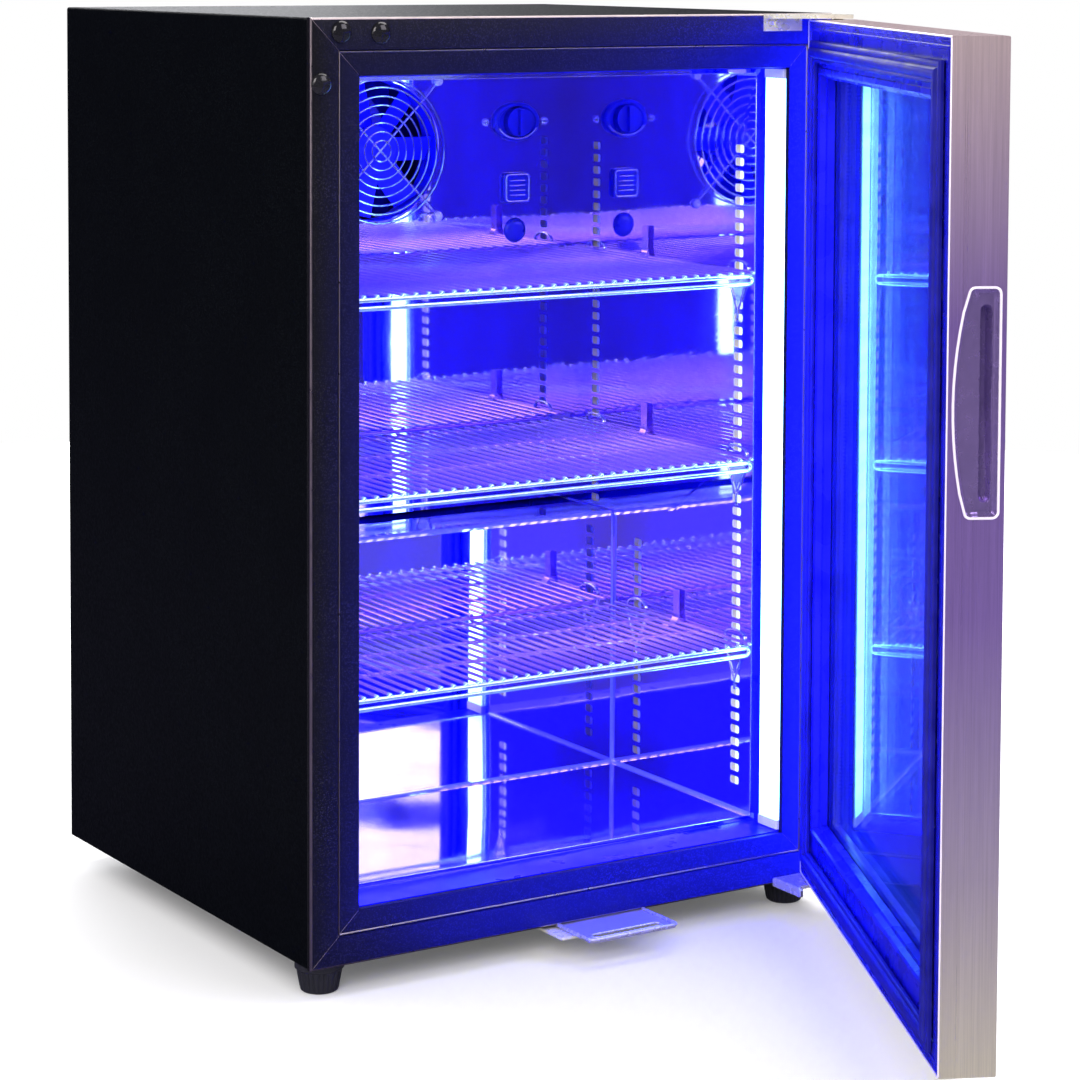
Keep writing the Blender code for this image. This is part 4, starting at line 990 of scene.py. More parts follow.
def bottom_bracket(paint, edge_paint):
    """Bent hinge plate under the door: a rolled upright lip on its left, and the pin's boss."""
    low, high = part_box("hinge_bracket_bottom")
    x0 = SIDE - 0.0495
    x1 = high.x - 0.0006
    y0 = low.y - 0.0004
    y1 = FRONT - 0.0006
    under = low.z
    bm = bmesh.new()
    prism(bm, rounded_rectangle(x0 + 0.0012, y0 + 0.0060, x1, y1, 0.0050), under, under + 0.0026)
    plate = finish_mesh("bracket_plate", bm, paint)
    soften(plate, 0.0005)
    bm = bmesh.new()
    lip_y0 = y0 - 0.0010
    outline = [(lip_y0, -0.0004), (lip_y0 + 0.0004, 0.0040), (lip_y0 + 0.0022, 0.0060)]
    outline += [(y1 - 0.0020, 0.0060), (y1, 0.0045), (y1, -0.0015), (lip_y0 + 0.0015, -0.0015)]
    prism(bm, outline, 0.0, 0.0028, facing_side(x0))
    lip = finish_mesh("bracket_lip", bm, paint)
    soften(lip, 0.0010, 3)
    bm = bmesh.new()
    tube(bm, [(x0 + 0.0014, lip_y0 + 0.0004, z) for z in (0.0, 0.0042)], 0.0009, 8)
    rim = finish_mesh("bracket_lip_end", bm, edge_paint, smooth_deg=60)
    bm = bmesh.new()
    boss = [(0.0, high.z - 0.0002), (0.0030, high.z - 0.0002), (0.0032, high.z - 0.0010), (0.0033, 0.0045)]
    boss += [(0.0068, 0.0040), (0.0072, 0.0032), (0.0072, under + 0.0020), (0.0, under + 0.0020)]
    lathe(bm, boss, 32, Matrix.Translation((HINGE.x, HINGE.y, 0.0)))
    pin = finish_mesh("bracket_pin", bm, paint)
    piece(plate, "cabinet", "plated_steel", "hinge_bracket_bottom")
    for part in (lip, rim, pin):
        piece(part, "cabinet", "plated_steel")


FEET = {"front_left": "foot_fl", "front_right": "foot_fr", "rear_left": "foot_rl", "rear_right": "foot_rr"}
# How far each ring of a foot, from the top down, lies inside its full radius.
FOOT_INSETS = (0.0006, 0.0, 0.0, 0.0012, 0.0014, 0.0036, 0.0042, 0.0056)
FOOT_GROOVE = 0.0010
STEM_TURNS = 7
STEM_PITCH = 0.0026


def levelling_feet(paint):
    """Tapered feet with upright ribs, a collar and a threaded stem."""
    for corner, body in FEET.items():
        low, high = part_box(f"foot_{corner}")
        x, y = node_centre(f"foot_{corner}").xy
        radius = half_width(f"foot_{corner}")
        ribs = 24
        steps = ribs * 3
        heights = [0.0004, -0.0006, -0.0052, -0.0064, -0.0072, low.z + 0.0030, low.z + 0.0010, low.z]
        bm = bmesh.new()
        rings = []
        for level, (z, inset) in enumerate(zip(heights, FOOT_INSETS)):
            ring = []
            for k in range(steps):
                ribbed = 4 <= level <= 5 and k % 3 == 0
                r = radius - inset - (FOOT_GROOVE if ribbed else 0.0)
                angle = 2 * math.pi * k / steps
                ring.append(bm.verts.new((x + r * math.cos(angle), y + r * math.sin(angle), z)))
            rings.append(ring)
        for a, b in zip(rings, rings[1:]):
            bridge(bm, a, b)
        bm.faces.new(rings[0])
        bm.faces.new(rings[-1])
        foot = finish_mesh(f"ribbed_foot_{corner}", bm, paint, smooth_deg=30)
        bm = bmesh.new()
        profile = [(0.0, high.z), (0.0030, high.z)]
        for k in range(STEM_TURNS):
            z = high.z - 0.0008 - k * STEM_PITCH
            profile += [(0.0038, z), (0.0032, z - STEM_PITCH / 2)]
        profile += [(0.0036, 0.0006), (0.0, 0.0006)]
        lathe(bm, profile, 24, Matrix.Translation((x, y, 0)))
        stem = finish_mesh(f"foot_stem_{corner}", bm, PAINTS["zinc"])
        piece(foot, body, "dark_plastic", f"foot_{corner}")
        piece(stem, body, "plated_steel")


# -------------------------------------------------------------- inside pieces

BAR_COUNT = 35
BAR_R = 0.00125
CLIP_LEDGE = 0.0095
RAIL_R = 0.0017


def wire_shelf(number, body, paint, rail_paint):
    """Round-wire shelf: bars over a looped double front rail, cross wires and end tabs."""
    low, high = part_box(f"shelf_{number}")
    x = high.x - 0.0012
    top = high.z - 0.025
    front = low.y + 0.0004
    rear = high.y
    bar_z = top - BAR_R
    bm = bmesh.new()
    rng = random.Random(number)
    for k in range(BAR_COUNT):
        bar_x = -x + 2 * x * k / (BAR_COUNT - 1)
        sag = rng.uniform(-0.00012, 0.00012)
        tube(bm, [(bar_x, front + 0.0006, bar_z), (bar_x, rear - 0.001, bar_z + sag)], BAR_R, 8)
    upper = top - 2 * BAR_R - RAIL_R + 0.0004
    lower = top - 0.0116 + RAIL_R
    bend = (upper - lower) / 2
    middle = (upper + lower) / 2
    reach = OPEN_X - 0.0022 - RAIL_R - bend
    loop = arc(reach, middle, bend, bend, -90, 90, 8) + arc(-reach, middle, bend, bend, 90, 270, 8)
    z = top - 2 * BAR_R - 0.0013
    for share in (0.38, 0.68):
        y = front + (rear - front) * share
        tube(bm, [(-x - 0.0004, y, z), (x + 0.0004, y, z)], 0.0015, 8)
    rear_x = OPEN_X - CLIP_LEDGE - 0.0034
    y = rear - 0.0030
    z -= 0.0001
    tube(bm, [(-rear_x, y, z), (rear_x, y, z)], 0.0017, 8)
    add_piece(f"wire_shelf_{number}", bm, paint, body, "chrome_wire", f"shelf_{number}", smooth_deg=60)
    bm = bmesh.new()
    upright_tube(bm, front + 0.0020, loop, RAIL_R, 10)
    for k in range(BAR_COUNT):
        bar_x = -x + 2 * x * k / (BAR_COUNT - 1)
        tube(bm, [(bar_x, front + 0.0004, bar_z), (bar_x, front + 0.0030, bar_z)], BAR_R + 0.0001, 8)
    add_piece(f"wire_shelf_rail_{number}", bm, rail_paint, body, "chrome_wire", smooth_deg=60)
    shelf_tabs(number, body, top, x, paint)


def shelf_tabs(number, body, top, x, paint):
    """Upright stops at both sides: a bent strip welded to the edge bar."""
    node = frame["nodes"][f"shelf_{number}"]
    tab_y = [v.co.y for v in node.data.vertices if v.co.z > top + 0.020]
    y0, y1 = min(tab_y), max(tab_y)
    thick = 0.0009
    low_skin = (0.2 * thick, thick)
    upright_skin = (thick, 0.2 * thick)
    steps = [
        (0.0110, -0.0030, low_skin),
        (0.0050, -0.0026, low_skin),
        (0.0014, 0.0010, upright_skin),
        (0.0004, 0.0050, upright_skin),
        (0.0004, 0.0240, upright_skin),
    ]
    bm = bmesh.new()
    for side in (-1, 1):
        loops = []
        for inset, lift, (out, down) in steps:
            u = side * (x - inset)
            v = top + lift
            back = (u + side * out, v - down)
            points = [(u, y0, v), (u, y1, v), (back[0], y1, back[1]), (back[0], y0, back[1])]
            loops.append([bm.verts.new(p) for p in points])
        for a, b in zip(loops, loops[1:]):
            bridge(bm, a, b)
        bm.faces.new(loops[0])
        bm.faces.new(loops[-1])
    add_piece(f"shelf_tabs_{number}", bm, paint, body, "chrome_wire", soft=0.0003)


def shelf_clips(paint):
    """Bent wire supports: a V down the wall, an arch above, a ledge under the shelf, a hook."""
    for number in range(1, 13):
        low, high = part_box(f"shelf_clip_{number}")
        side = 1 if low.x + high.x > 0 else -1
        y = (low.y + high.y) / 2
        ledge_z = high.z
        wall = side * (OPEN_X - 0.0013)
        bm = bmesh.new()
        r = 0.0009
        point = ledge_z - 0.0285
        shape = [(y - 0.0010, point), (y - 0.0125, ledge_z - 0.004), (y - 0.0130, ledge_z + 0.0035)]
        shape += arc(y, ledge_z + 0.0035, 0.0130, 0.0060, 170, 10, 8)
        shape += [(y + 0.0130, ledge_z + 0.0035), (y + 0.0125, ledge_z - 0.004), (y + 0.0010, point)]
        tube(bm, [(wall, u, v) for u, v in shape], r, 8, closed=True)
        inner = side * (OPEN_X - CLIP_LEDGE)
        z = ledge_z - r
        ledge = [(wall, y - 0.0128, z), (inner, y - 0.0105, z), (inner, y + 0.0105, z), (wall, y + 0.0128, z)]
        tube(bm, ledge, r, 8)
        behind = side * (OPEN_X + 0.004)
        hook_z = ledge_z - 0.0037
        tube(bm, [(wall, y, hook_z - 0.002), (wall, y, hook_z), (behind, y, hook_z)], r, 8)
        stem = ledge_z - 0.0370
        tube(bm, [(wall, y, point + 0.0010), (wall, y, stem), (behind, y, stem - 0.0005)], r * 1.2, 8)
        gusset = [(y - 0.0122, ledge_z - 0.0012), (y + 0.0122, ledge_z - 0.0012), (y, point + 0.0030)]
        prism(bm, gusset, -0.0002, 0.0002, facing_side(side * (OPEN_X - 0.0010)))
        node = f"shelf_clip_{number}"
        add_piece(f"wire_clip_{number}", bm, paint, "cabinet", "chrome_wire", node, smooth_deg=60)


RING_COUNT = 8
RING_PITCH = 0.00705


def fan_guard_wire(paint):
    """Finger guard of round wire: eight rings on two crossed ribs with screw eyes."""
    eye = half_width("fan_guard") - 0.0045
    bm = bmesh.new()
    x, z = FAN_CENTRE.x, FAN_CENTRE.z
    ring_y = COVER_Y - 0.0048
    for k in range(RING_COUNT):
        radius = 0.0086 + RING_PITCH * k
        ring = circle(x, z, radius, radius, 56)
        upright_tube(bm, ring_y, ring, 0.0009, 6)
    for sx, sz in ((1, 1), (1, -1)):
        ends = []
        for sign in (-1, 1):
            cx, cz = x + sign * sx * eye, z + sign * sz * eye
            loop = circle(cx, cz, 0.0033, 0.0033, 16)
            upright_tube(bm, COVER_Y - 0.0012, loop, 0.0010, 6)
            step_in = 1 - 0.0033 / eye
            ends.append((x + sign * sx * eye * step_in, COVER_Y - 0.0012, z + sign * sz * eye * step_in))
        bend = [Vector((x + s * sx * 0.043, ring_y + 0.0019, z + s * sz * 0.043)) for s in (-1, 1)]
        tube(bm, [ends[0], bend[0], bend[1], ends[1]], 0.0011, 8)
    add_piece("finger_guard", bm, paint, "cabinet", "chrome_wire", "fan_guard", smooth_deg=60)
    corners = ((-1, -1), (1, -1), (-1, 1), (1, 1))
    places = [(x + sx * eye, COVER_Y - 0.0022, z + sz * eye) for sx, sz in corners]
    screws("fan_screws", places, 0.0036, PAINTS["nickel"])


def thermostat_plate(paint, bright):
    """Oval dial plate with a rolled rim, a bright chrome crescent that stands for the highlight on the well's
    lower edge, and two screws.
    """
    low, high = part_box("thermostat_bezel")
    x, _, z = node_centre("thermostat_bezel")
    rx, rz = (high.x - low.x) / 2, (high.z - low.z) / 2
    bm = bmesh.new()
    rows = ((1.0, 0.0), (1.0, 0.0022), (0.965, 0.0035), (0.90, 0.0041), (0.82, 0.0038), (0.78, 0.0026))
    well = 0.0125
    loops = []
    ovals = [(rx * share, rz * share, lift) for share, lift in rows]
    ovals += [(r, r, lift) for r, lift in ((well, 0.0022), (well - 0.0006, 0.0010), (well - 0.0006, 0.0))]
    for across, up, lift in ovals:
        y = COVER_Y - 0.0003 - lift
        loops.append([bm.verts.new((u, y, v)) for u, v in circle(x, z, across, up, 64)])
    for a, b in zip(loops, loops[1:] + loops[:1]):
        bridge(bm, a, b)
    add_piece("dial_plate", bm, paint, "cabinet", "dark_plastic", "thermostat_bezel")
    bm = bmesh.new()
    # Painted highlight: a raised chrome crescent, on the lower half only, makes the well's bright edge.
    crescent = arc(x, z, rx * 0.87, rz * 0.84, 205, 335, 22)
    upright_tube(bm, COVER_Y - 0.0046, crescent, 0.0010, closed=False)
    add_piece("dial_crescent", bm, bright, "cabinet", "chrome_wire", smooth_deg=60)
    places = [(x + s * (rx + 0.0062), COVER_Y - 0.0004, z) for s in (-1, 1)]
    screws("dial_screws", places, 0.0034, bright)


def sensor_and_plug(paint, bright):
    """Probe cover with a raised frame and slots, and the domed plug under it."""
    x, _, z = node_centre("sensor_cover")
    half = half_width("sensor_cover")
    bm = bmesh.new()
    outline = rounded_rectangle(-half, -half, half, half, 0.004)
    prism(bm, outline, 0.0003, 0.0042, facing_front(x, COVER_Y, z))
    add_piece("probe_cover", bm, paint, "cabinet", "dark_plastic", "sensor_cover", soft=0.0008)
    bm = bmesh.new()
    upright_tube(bm, COVER_Y - 0.0044, oblong(x, z, half - 0.0016, half - 0.0016, 0.003), 0.0009)
    for k in range(4):
        v = z - 0.0060 + 0.0040 * k
        tube(bm, [(x - 0.0068, COVER_Y - 0.0042, v), (x + 0.0068, COVER_Y - 0.0042, v)], 0.0007, 6)
    add_piece("probe_cover_ribs", bm, bright, "cabinet", "chrome_wire", smooth_deg=60)
    x, _, z = node_centre("panel_plug")
    radius = half_width("panel_plug")
    profile = [(0.0, 0.0034), (radius * 0.45, 0.0033), (radius * 0.72, 0.0028), (radius * 0.90, 0.0018)]
    profile += [(radius, 0.0006), (radius, 0.0003), (0.0, 0.0003)]
    bm = bmesh.new()
    lathe(bm, profile, 40, facing_front(x, COVER_Y, z))
    add_piece("domed_plug", bm, paint, "cabinet", "dark_plastic", "panel_plug")


# ---------------------------------------------------------------------- door

def door_piece(obj, slot, *nodes):
    """Swing a piece built on the closed door to the rest place, and let it ride on the door."""
    obj.matrix_world = DOOR_SWING @ obj.matrix_world
    return piece(obj, "door", slot, *nodes)


def add_door_piece(name, bm, paint, slot, *nodes, smooth_deg=38):
    """Finish a mesh built on the closed door and let it ride on the door."""
    return door_piece(finish_mesh(name, bm, paint, smooth_deg=smooth_deg), slot, *nodes)


def door_bottom_extra(inset):
    """The border is wider at the foot of the door, from the inner lip inwards."""
    return BORDER_BOTTOM_EXTRA if inset > 0.030 else 0.0


def door_y(n):
    """World y of a depth n in front of the closed door's inner face."""
    return DOOR_INNER_Y - n


def door_ring(name, profile, paint):
    """A ring round the closed door from a profile of (inset from its edge, depth n)."""
    bm = bmesh.new()
    run = [(inset, door_y(n)) for inset, n in profile]
    sweep_rectangle(bm, run, (DOOR_LOW.x, DOOR_LOW.z), (DOOR_HIGH.x, DOOR_HIGH.z), door_bottom_extra)
    return finish_mesh(name, bm, paint)


PULL_NODE_LOW, PULL_NODE_HIGH = closed_box("handle_pocket")
PULL_LOW = PULL_NODE_LOW.z + 0.0022
PULL_HIGH = PULL_NODE_HIGH.z - 0.0022
PULL_OUTER = DOOR_INNER_Y - PULL_NODE_LOW.y - 0.0022
PULL_NARROW = 0.0039
PULL_WIDEST_Z = 0.4268
PULL_BOW = 1.72
PULL_CORNER = 0.0035
PULL_GAP = 0.0004


def pull_span(z):
    """(n at the bowed side, n at the straight side) of the pull's outline at a height."""
    return PULL_NARROW + PULL_BOW * (z - PULL_WIDEST_Z) ** 2, PULL_OUTER


def pull_outline():
    """The cut-out's outline in (n, z): straight outer side, bowed inner side, round corners."""
    low, high = PULL_LOW - PULL_GAP, PULL_HIGH + PULL_GAP
    outer = PULL_OUTER + PULL_GAP
    r = PULL_CORNER + PULL_GAP
    points = arc(outer - r, low + r, r, r, -90, 0, 6)
    points += arc(outer - r, high - r, r, r, 0, 90, 6)
    inner_high = pull_span(high)[0] - PULL_GAP
    points += arc(inner_high + r, high - r, r, r, 90, 172, 6)
    for k in range(1, 12):
        z = high - r - (high - low - 2 * r) * k / 12
        points.append((pull_span(z)[0] - PULL_GAP, z))
    inner_low = pull_span(low)[0] - PULL_GAP
    points += arc(inner_low + r, low + r, r, r, 184, 270, 6)
    return points


def door_shell(paint):
    """Brushed sheet wrapped round the door's front and edges, with the pull's cut-out."""
    r = 0.0014
    profile = [(0.0, 0.0004), (0.0, DOOR_T - r)]
    profile += [(r - r * math.cos(a), DOOR_T - r + r * math.sin(a)) for a in (0.4, 0.8, 1.2)]
    profile += [
        (r, DOOR_T),
        (BORDER - 0.0006, DOOR_T),
        (BORDER, DOOR_T - 0.0006),
        (BORDER, DOOR_T - 0.0040),
        (BORDER - 0.0009, DOOR_T - 0.0040),
        (BORDER - 0.0009, DOOR_T - 0.0010),
        (r + 0.0004, DOOR_T - 0.0010),
        (0.0010, DOOR_T - r),
        (0.0010, 0.0004),
        (0.0005, 0.0),
    ]
    shell = door_ring("door_shell", profile, paint)
    bm = bmesh.new()
    turn = Matrix(((0, 0, 1, DOOR_LOW.x), (-1, 0, 0, DOOR_INNER_Y), (0, 1, 0, 0), (0, 0, 0, 1)))
    prism(bm, pull_outline(), -0.02, 0.006, turn)
    cut(shell, bm)
    lock = closed_box("lock_housing")
    bm = bmesh.new()
    centre = (lock[0] + lock[1]) / 2
    profile = [(0.0, -0.01), (0.0098, -0.01), (0.0098, 0.02), (0.0, 0.02)]
    lathe(bm, profile, 40, facing_front(centre.x, door_y(DOOR_T - 0.005), centre.z))
    cut(shell, bm)
    plug = closed_box("lock_plug")
    bm = bmesh.new()
    slot_low = (plug[0].x - 0.002, plug[1].y - 0.0030, DOOR_LOW.z - 0.01)
    block(bm, slot_low, (plug[1].x + 0.0066, plug[1].y + 0.0010, DOOR_LOW.z + 0.003))
    cut(shell, bm)
    shell.data.shade_smooth()
    shell.data.set_sharp_from_angle(angle=math.radians(38))
    door_piece(shell, "brushed_steel", "door_frame")


def door_liner(paint):
    """Plastic inner profile: lip, gasket groove, raised land, chamfer and glazing rebate."""
    profile = [
        (0.0012, 0.0006), (0.0016, -0.0002), (0.0032, -0.0002), (0.0037, 0.0006),
        (0.0062, 0.0006), (0.0066, -0.0004), (0.0084, -0.0004), (0.0088, 0.0005),
        (0.0168, 0.0005), (0.0172, 0.0016), (0.0345, 0.0016), (0.0350, 0.0002),
        (0.0385, -0.0004), (0.0402, 0.0008), (0.0410, 0.0052), (0.0428, 0.0060),
        (0.0430, 0.0116), (0.0345, 0.0118), (0.0345, 0.0340), (0.0195, 0.0350),
        (0.0195, 0.0040), (0.0012, 0.0040),
    ]
    door_piece(door_ring("door_liner_profile", profile, paint), "dark_plastic", "door_inner_trim")
    stop = [
        (0.0345, 0.0347), (0.0345, 0.0352), (BORDER - 0.0011, 0.0352), (BORDER - 0.0011, 0.0347),
    ]
    door_piece(door_ring("outer_glazing_seal", stop, PAINTS["rubber"]), "gasket_rubber")


def door_seal(paint):
    """Magnetic gasket: a foot, two soft folds and the magnet bulb, run round the door."""
    low = closed_box("door_gasket")[0]
    start = low.x - DOOR_LOW.x
    profile = [(start + 0.0004, -0.0003)]
    profile += [(u, -v) for u, v in arc(start + 0.0030, 0.0022, 0.0028, 0.0019, 200, 40, 6)]
    profile += [(u, -v) for u, v in arc(start + 0.0090, 0.0034, 0.0036, 0.0028, 165, 15, 8)]
    profile += [(u, -v) for u, v in arc(start + 0.0142, 0.0021, 0.0017, 0.0018, 140, -30, 5)]
    profile.append((start + 0.0156, -0.0003))
    bm = bmesh.new()
    run = [(inset, door_y(n)) for inset, n in profile]
    top = closed_box("door_gasket")[1].z + start
    bottom = low.z - start
    sweep_rectangle(bm, run, (DOOR_LOW.x, bottom), (DOOR_HIGH.x, top))
    add_door_piece("magnetic_gasket", bm, paint, "gasket_rubber", "door_gasket", smooth_deg=50)


SLOT_N = (0.0215, 0.0285)
SLOT_Z = (0.3680, 0.4900)
RIM_WIDTH = 0.0026
RIM_DEPTH = 0.0024
DISH_DEPTH = 0.0020
SLOT_DEPTH = 0.0120


def smooth_step(value, low, high):
    """Ease from 0 to 1 between two values."""
    share = min(max((value - low) / (high - low), 0.0), 1.0)
    return share * share * (3 - 2 * share)


def pull_depth(n, z):
    """How far the pull's surface lies below the door's edge at a point."""
    bowed, outer = pull_span(z)
    inset = min(n - bowed, outer - n, z - PULL_LOW, PULL_HIGH - z)
    rim = RIM_DEPTH * min(max(inset / RIM_WIDTH, 0.0), 1.0)
    dish = DISH_DEPTH * smooth_step(n, bowed + 0.004, SLOT_N[0])
    half = (SLOT_N[1] - SLOT_N[0]) / 2
    middle = (SLOT_N[1] + SLOT_N[0]) / 2
    nearest = min(max(z, SLOT_Z[0] + half), SLOT_Z[1] - half)
    away = math.hypot(n - middle, z - nearest)
    floor_slope = 0.55 + 0.45 * smooth_step(z, SLOT_Z[0] + half, SLOT_Z[0] + 0.075)
    return rim + dish + SLOT_DEPTH * floor_slope * (1 - smooth_step(away, half - 0.0012, half + 0.0004))


def door_pull(paint, edge_paint):
    """Recessed pull: a chamfered rim, a shallow dish and the deep finger slot."""
    columns, rows = 76, 180
    bm = bmesh.new()
    grid = []
    for j in range(rows + 1):
        z = PULL_LOW + (PULL_HIGH - PULL_LOW) * j / rows
        from_end = min(z - PULL_LOW, PULL_HIGH - z)
        short = max(PULL_CORNER - from_end, 0.0)
        pinch = PULL_CORNER - math.sqrt(max(PULL_CORNER ** 2 - short ** 2, 0.0))
        bowed, outer = pull_span(z)
        row = []
        for i in range(columns + 1):
            n = bowed + pinch + (outer - bowed - 2 * pinch) * i / columns
            row.append(bm.verts.new((DOOR_LOW.x + pull_depth(n, z) + 0.0001, door_y(n), z)))
        grid.append(row)
    for a, b in zip(grid, grid[1:]):
        for k in range(columns):
            bm.faces.new((a[k], a[k + 1], b[k + 1], b[k]))
    # The scoop's violet is a painted reflection.
    face = finish_mesh("pull_scoop", bm, paint, smooth_deg=45)
    skin = face.modifiers.new("skin", "SOLIDIFY")
    skin.thickness = 0.0007
    skin.offset = -1.0 if face.data.polygons[0].normal.x < 0 else 1.0
    bake(face)
    door_piece(face, "chrome_wire", "handle_pocket")
    # The rim takes the lighter edge paint: a painted highlight.
    bm = bmesh.new()
    tube(bm, [(DOOR_LOW.x, door_y(n), z) for n, z in pull_outline()], 0.0009, 8, closed=True)
    add_door_piece("pull_rim", bm, edge_paint, "chrome_wire", smooth_deg=60)


def door_edge_bead(paint):
    """Folded lip of the steel round the door's inner face, in the lighter edge paint: a painted highlight."""
    inset = 0.0007
    x0, z0 = DOOR_LOW.x + inset, DOOR_LOW.z + inset
    x1, z1 = DOOR_HIGH.x - inset, DOOR_HIGH.z - inset
    bm = bmesh.new()
    upright_tube(bm, door_y(0.0001), rounded_rectangle(x0, z0, x1, z1, 0.0012, 3), 0.0007)
    add_door_piece("door_folded_lip", bm, paint, "brushed_steel", smooth_deg=60)


# -------------------------------------------------------------- carried nodes

KEPT_NODES = {
    "powder": ("outer_shell", "base_pan"),
    "powder_back": ("back_panel", "compressor_cover"),
    "collar": ("collar",),
    "foam": ("insulation",),
    "light": ("led_strip_left", "led_strip_right"),
    "mirror_panel": ("evaporator_cover",),
    "aluminium": ("evaporator",),
    "fan_plastic": ("fan_housing", "fan_rotor"),
    "cold_plastic": ("thermostat_knob",),
    "enamel": ("compressor", "condenser"),
    "plastic": ("power_inlet", "door_bush_top", "door_bush_bottom"),
    "glass": ("glass_inner", "glass_middle", "glass_outer"),
    "spacer": ("spacer_inner", "spacer_outer"),
    "wire": ("lock_housing", "lock_plug"),
    "nickel": ("hinge_bracket_top",),
}
SOFT_EDGES = {
    "outer_shell": 0.0004,
    "back_panel": 0.0003,
    "collar": 0.0005,
    "thermostat_knob": 0.0004,
    "lock_housing": 0.0004,
    "lock_plug": 0.0002,
    "hinge_bracket_top": 0.0005,
}


def dress_kept_nodes():
    """Materials and, where they help, soft edges of the CAD nodes that no piece replaces."""
    for paint, nodes in KEPT_NODES.items():
        for node in nodes:
            materials = frame["nodes"][node].data.materials
            materials.clear()
            materials.append(PAINTS[paint])
    for node, width in SOFT_EDGES.items():
        soften(frame["nodes"][node], width)


# ---------------------------------------------------------------------- stage

FLOOR_RADIUS = 2.3
WHITE = (1.0, 1.0, 1.0, 1.0)
DARK_ROOM = (0.035, 0.028, 0.075, 1.0)
GLOW_BLUE = (0.004, 0.008, 1.0)
DOOR_GLOW_BLUE = (0.004, 0.010, 1.0)
CARD_WHITE = (0.95, 1.0, 0.86)
STUDIO_AIM = (0.0, 0.0, 0.3)
# Name, place, side, watts, colour.
SOFTBOXES = (
    ("key", (-1.9, -2.3, 1.9), 1.6, 46.0, (1.0, 0.95, 0.95)),
    ("fill", (1.5, -2.6, 1.9), 1.4, 20.0, (0.95, 0.90, 1.0)),
    ("top", (0.9, -0.2, 2.4), 1.8, 40.0, (1.0, 0.98, 0.97)),
    ("left", (-2.6, -1.3, 0.8), 1.2, 6.0, (1.0, 0.97, 0.96)),
    ("rear", (0.6, 2.8, 1.6), 1.8, 60.0, (0.96, 0.97, 1.0)),
)
# Name, place, (width, height), watts, aim.
FRAME_GLOWS = (
    ("right", (0.238, -0.256, 0.33), (0.05, 0.62), 120.0, (0.200, -0.20, 0.33)),
    ("bottom", (0.060, -0.280, 0.02), (0.36, 0.05), 9.0, (0.060, -0.20, 0.02)),
)
# Name, height over the floor, the card's own height.
CARDS = (("low", 0.412, 0.092), ("high", 0.560, 0.116))


def studio_floor():
    """Plain white floor, bright away from the object, that mirrors see as dark."""
    bm = bmesh.new()
    floor_z = CAD_BOX[0].z - 0.0002
    lathe(bm, [(0.0, floor_z), (1.2, floor_z), (FLOOR_RADIUS, floor_z)], 96, Matrix.Identity(4))
    s = Shader("studio_floor", (0.90, 0.90, 0.91), 0.6, specular=0.1)
    s.vary_roughness(s.noise(3.0), 0.5, 0.7)
    distance = s.node("ShaderNodeVectorMath", operation="LENGTH", Vector=s.place)
    s.set("Emission Color", WHITE)
    glow = s.remap(distance.outputs["Value"], 0.10, 0.55, 0.6, 2.0)
    s.join(glow, s.surface.inputs["Emission Strength"])
    mirrored = s.node("ShaderNodeLightPath").outputs["Is Glossy Ray"]
    dim = s.closure("BsdfDiffuse", (0.08, 0.07, 0.14))
    s.finish(s.mix_surfaces(mirrored, s.surface.outputs[0], dim.outputs[0]))
    floor = finish_mesh("studio_floor", bm, s.material)
    return floor


def studio_room():
    """White surroundings. Mirrors see a darker room, so that the liner keeps its depth."""
    world = bpy.data.worlds.new("studio")
    bpy.context.scene.world = world
    world.use_nodes = True
    tree = world.node_tree
    path = tree.nodes.new("ShaderNodeLightPath")
    mix = tree.nodes.new("ShaderNodeMix")
    mix.data_type = "RGBA"
    mix.inputs[6].default_value = WHITE
    mix.inputs[7].default_value = DARK_ROOM
    tree.links.new(path.outputs["Is Glossy Ray"], mix.inputs[0])
    tree.links.new(mix.outputs[2], tree.nodes["Background"].inputs["Color"])


def studio_lights(floor):
    """Soft white lights, the blue glow of the light bars and the two cards the liner mirrors."""
    for name, place, size, power, colour in SOFTBOXES:
        softbox(name, place, (size, size), power, colour, STUDIO_AIM)
    place, aim = (0.02, -0.44, 0.30), (0.20, -0.20, 0.28)
    glow = softbox("door_glow", place, (0.22, 0.22), 1.8, DOOR_GLOW_BLUE, aim, False)
    skip_floor(glow, floor, "door_glow_receivers")
    for tag in ("left", "right"):
        skip_floor(frame["nodes"][f"led_strip_{tag}"], floor, f"light_bar_{tag}_receivers")
    bars = [bpy.data.objects[f"face_frame_{side}"] for side in ("bottom", "right", "top", "left")]
    receivers = group_of("frame_glow_receivers", bars)
    for name, place, size, power, aim in FRAME_GLOWS:
        lamp = softbox(f"frame_glow_{name}", place, size, power, GLOW_BLUE, aim, False)
        lamp.light_linking.receiver_collection = receivers
        lamp.light_linking.blocker_collection = receivers
    mirrors = [bpy.data.objects["liner_shell"], frame["nodes"]["evaporator_cover"]]
    receivers = group_of("card_receivers", mirrors)
    for name, height, size_y in CARDS:
        place, aim = (0.74, -1.30, height), (0.08, -0.15, 0.12)
        card = softbox(f"card_{name}", place, (0.42, size_y), 0.55, CARD_WHITE, aim)
        card.light_linking.receiver_collection = receivers


def softbox(name, place, size, power, colour, aim, in_mirrors=True):
    """Soft light of a width and height, unseen by the camera and, where asked, by mirrors."""
    data = bpy.data.lights.new(f"softbox_{name}", "AREA")
    data.shape = "RECTANGLE"
    data.size, data.size_y = size
    data.energy = power
    data.color = colour
    lamp = bpy.data.objects.new(f"softbox_{name}", data)
    lamp.location = place
    lamp.rotation_euler = (Vector(aim) - Vector(place)).to_track_quat("-Z", "Y").to_euler()
    lamp.visible_camera = False
    lamp.visible_glossy = in_mirrors
    bpy.context.scene.collection.objects.link(lamp)
    return lamp


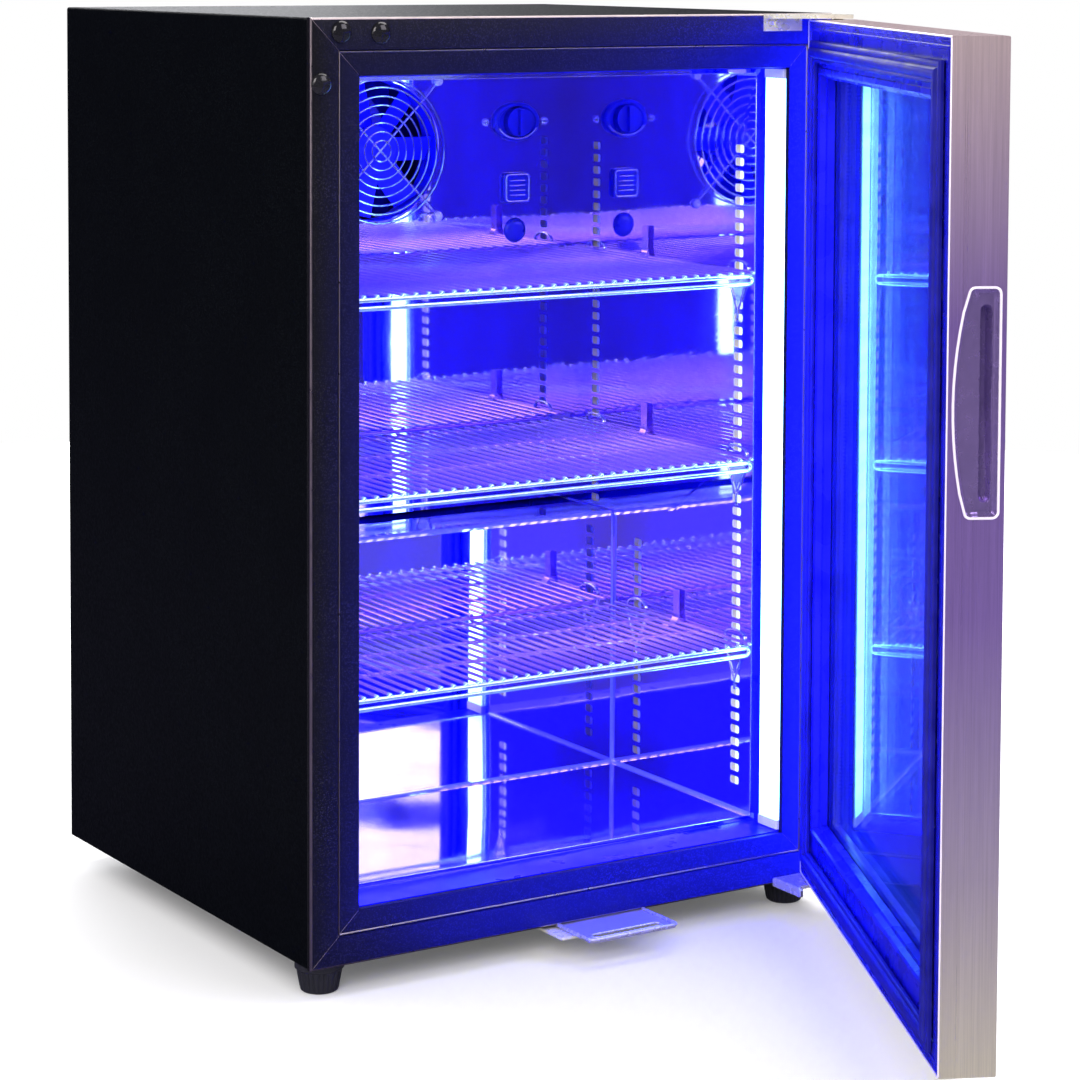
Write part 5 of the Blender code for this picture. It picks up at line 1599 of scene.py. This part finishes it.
def group_of(name, members):
    """A collection, outside the scene, that light linking can name."""
    group = bpy.data.collections.new(name)
    for member in members:
        group.objects.link(member)
    return group


def skip_floor(lamp, floor, name):
    """Let a blue light fall on the refrigerator and not on the studio floor."""
    group = group_of(name, (floor, frame["nodes"]["hinge_bracket_top"]))
    for member in group.collection_objects:
        member.light_linking.link_state = "EXCLUDE"
    lamp.light_linking.receiver_collection = group


CAMERA_PLACE = Vector((-1.250, -2.1027, 0.707))
CAMERA_YAW = 32.478
CAMERA_PITCH = 3.909
CAMERA_ROLL = 0.261
CAMERA_LENS = 106.0
CAMERA_SHIFT = (0.0012, -0.3460)


def make_camera():
    """Long lens at the three-quarter view; its shift belongs to this place only."""
    data = bpy.data.cameras.new("camera")
    data.lens = CAMERA_LENS
    data.sensor_width = 36.0
    data.clip_end = 60.0
    camera = bpy.data.objects.new("camera", data)
    bpy.context.scene.collection.objects.link(camera)
    turn = (
        Matrix.Rotation(math.radians(-CAMERA_YAW), 4, "Z")
        @ Matrix.Rotation(math.radians(90 - CAMERA_PITCH), 4, "X")
        @ Matrix.Rotation(math.radians(CAMERA_ROLL), 4, "Z")
    )
    camera.matrix_world = Matrix.Translation(CAMERA_PLACE) @ turn
    home = bpy.data.objects.new("camera_home", None)
    home.location = CAMERA_PLACE
    bpy.context.scene.collection.objects.link(home)
    for axis, value in (("shift_x", CAMERA_SHIFT[0]), ("shift_y", CAMERA_SHIFT[1])):
        curve = data.driver_add(axis)
        distance = curve.driver.variables.new()
        distance.name = "away"
        distance.type = "LOC_DIFF"
        distance.targets[0].id = camera
        distance.targets[1].id = home
        curve.driver.expression = f"{value} if away < 0.01 else 0"
    bpy.context.scene.camera = camera


# ----------------------------------------------------------------------- main

PAINTS = make_paints()
face_frame(PAINTS["face"], PAINTS["edge"])
hole_caps(PAINTS["gloss"])
liner_shell(PAINTS["mirror"], PAINTS["fold"])
liner_lips(PAINTS["wire"], PAINTS["lip"])
slot_backings(PAINTS["lit_slot"], PAINTS["dim_slot"])
led_end_caps(PAINTS["pale"])
strike_tray(PAINTS["zinc"], PAINTS["zinc_edge"])
bottom_bracket(PAINTS["zinc_edge"], PAINTS["wire"])
levelling_feet(PAINTS["plastic"])
for shelf_number, shelf_body in ((1, "shelf_upper"), (2, "shelf_centre"), (3, "shelf_lower")):
    wire_shelf(shelf_number, shelf_body, PAINTS["shelf_wire"], PAINTS["rail"])
shelf_clips(PAINTS["wire"])
fan_guard_wire(PAINTS["wire"])
thermostat_plate(PAINTS["cold_plastic"], PAINTS["wire"])
sensor_and_plug(PAINTS["cold_plastic"], PAINTS["wire"])
door_shell(PAINTS["brushed"])
door_liner(PAINTS["trim"])
door_seal(PAINTS["rubber"])
door_pull(PAINTS["pull"], PAINTS["pull_edge"])
door_edge_bead(PAINTS["pull_edge"])
dress_kept_nodes()
studio_room()
studio_lights(studio_floor())
make_camera()
bpy.context.scene.view_settings.view_transform = "Standard"
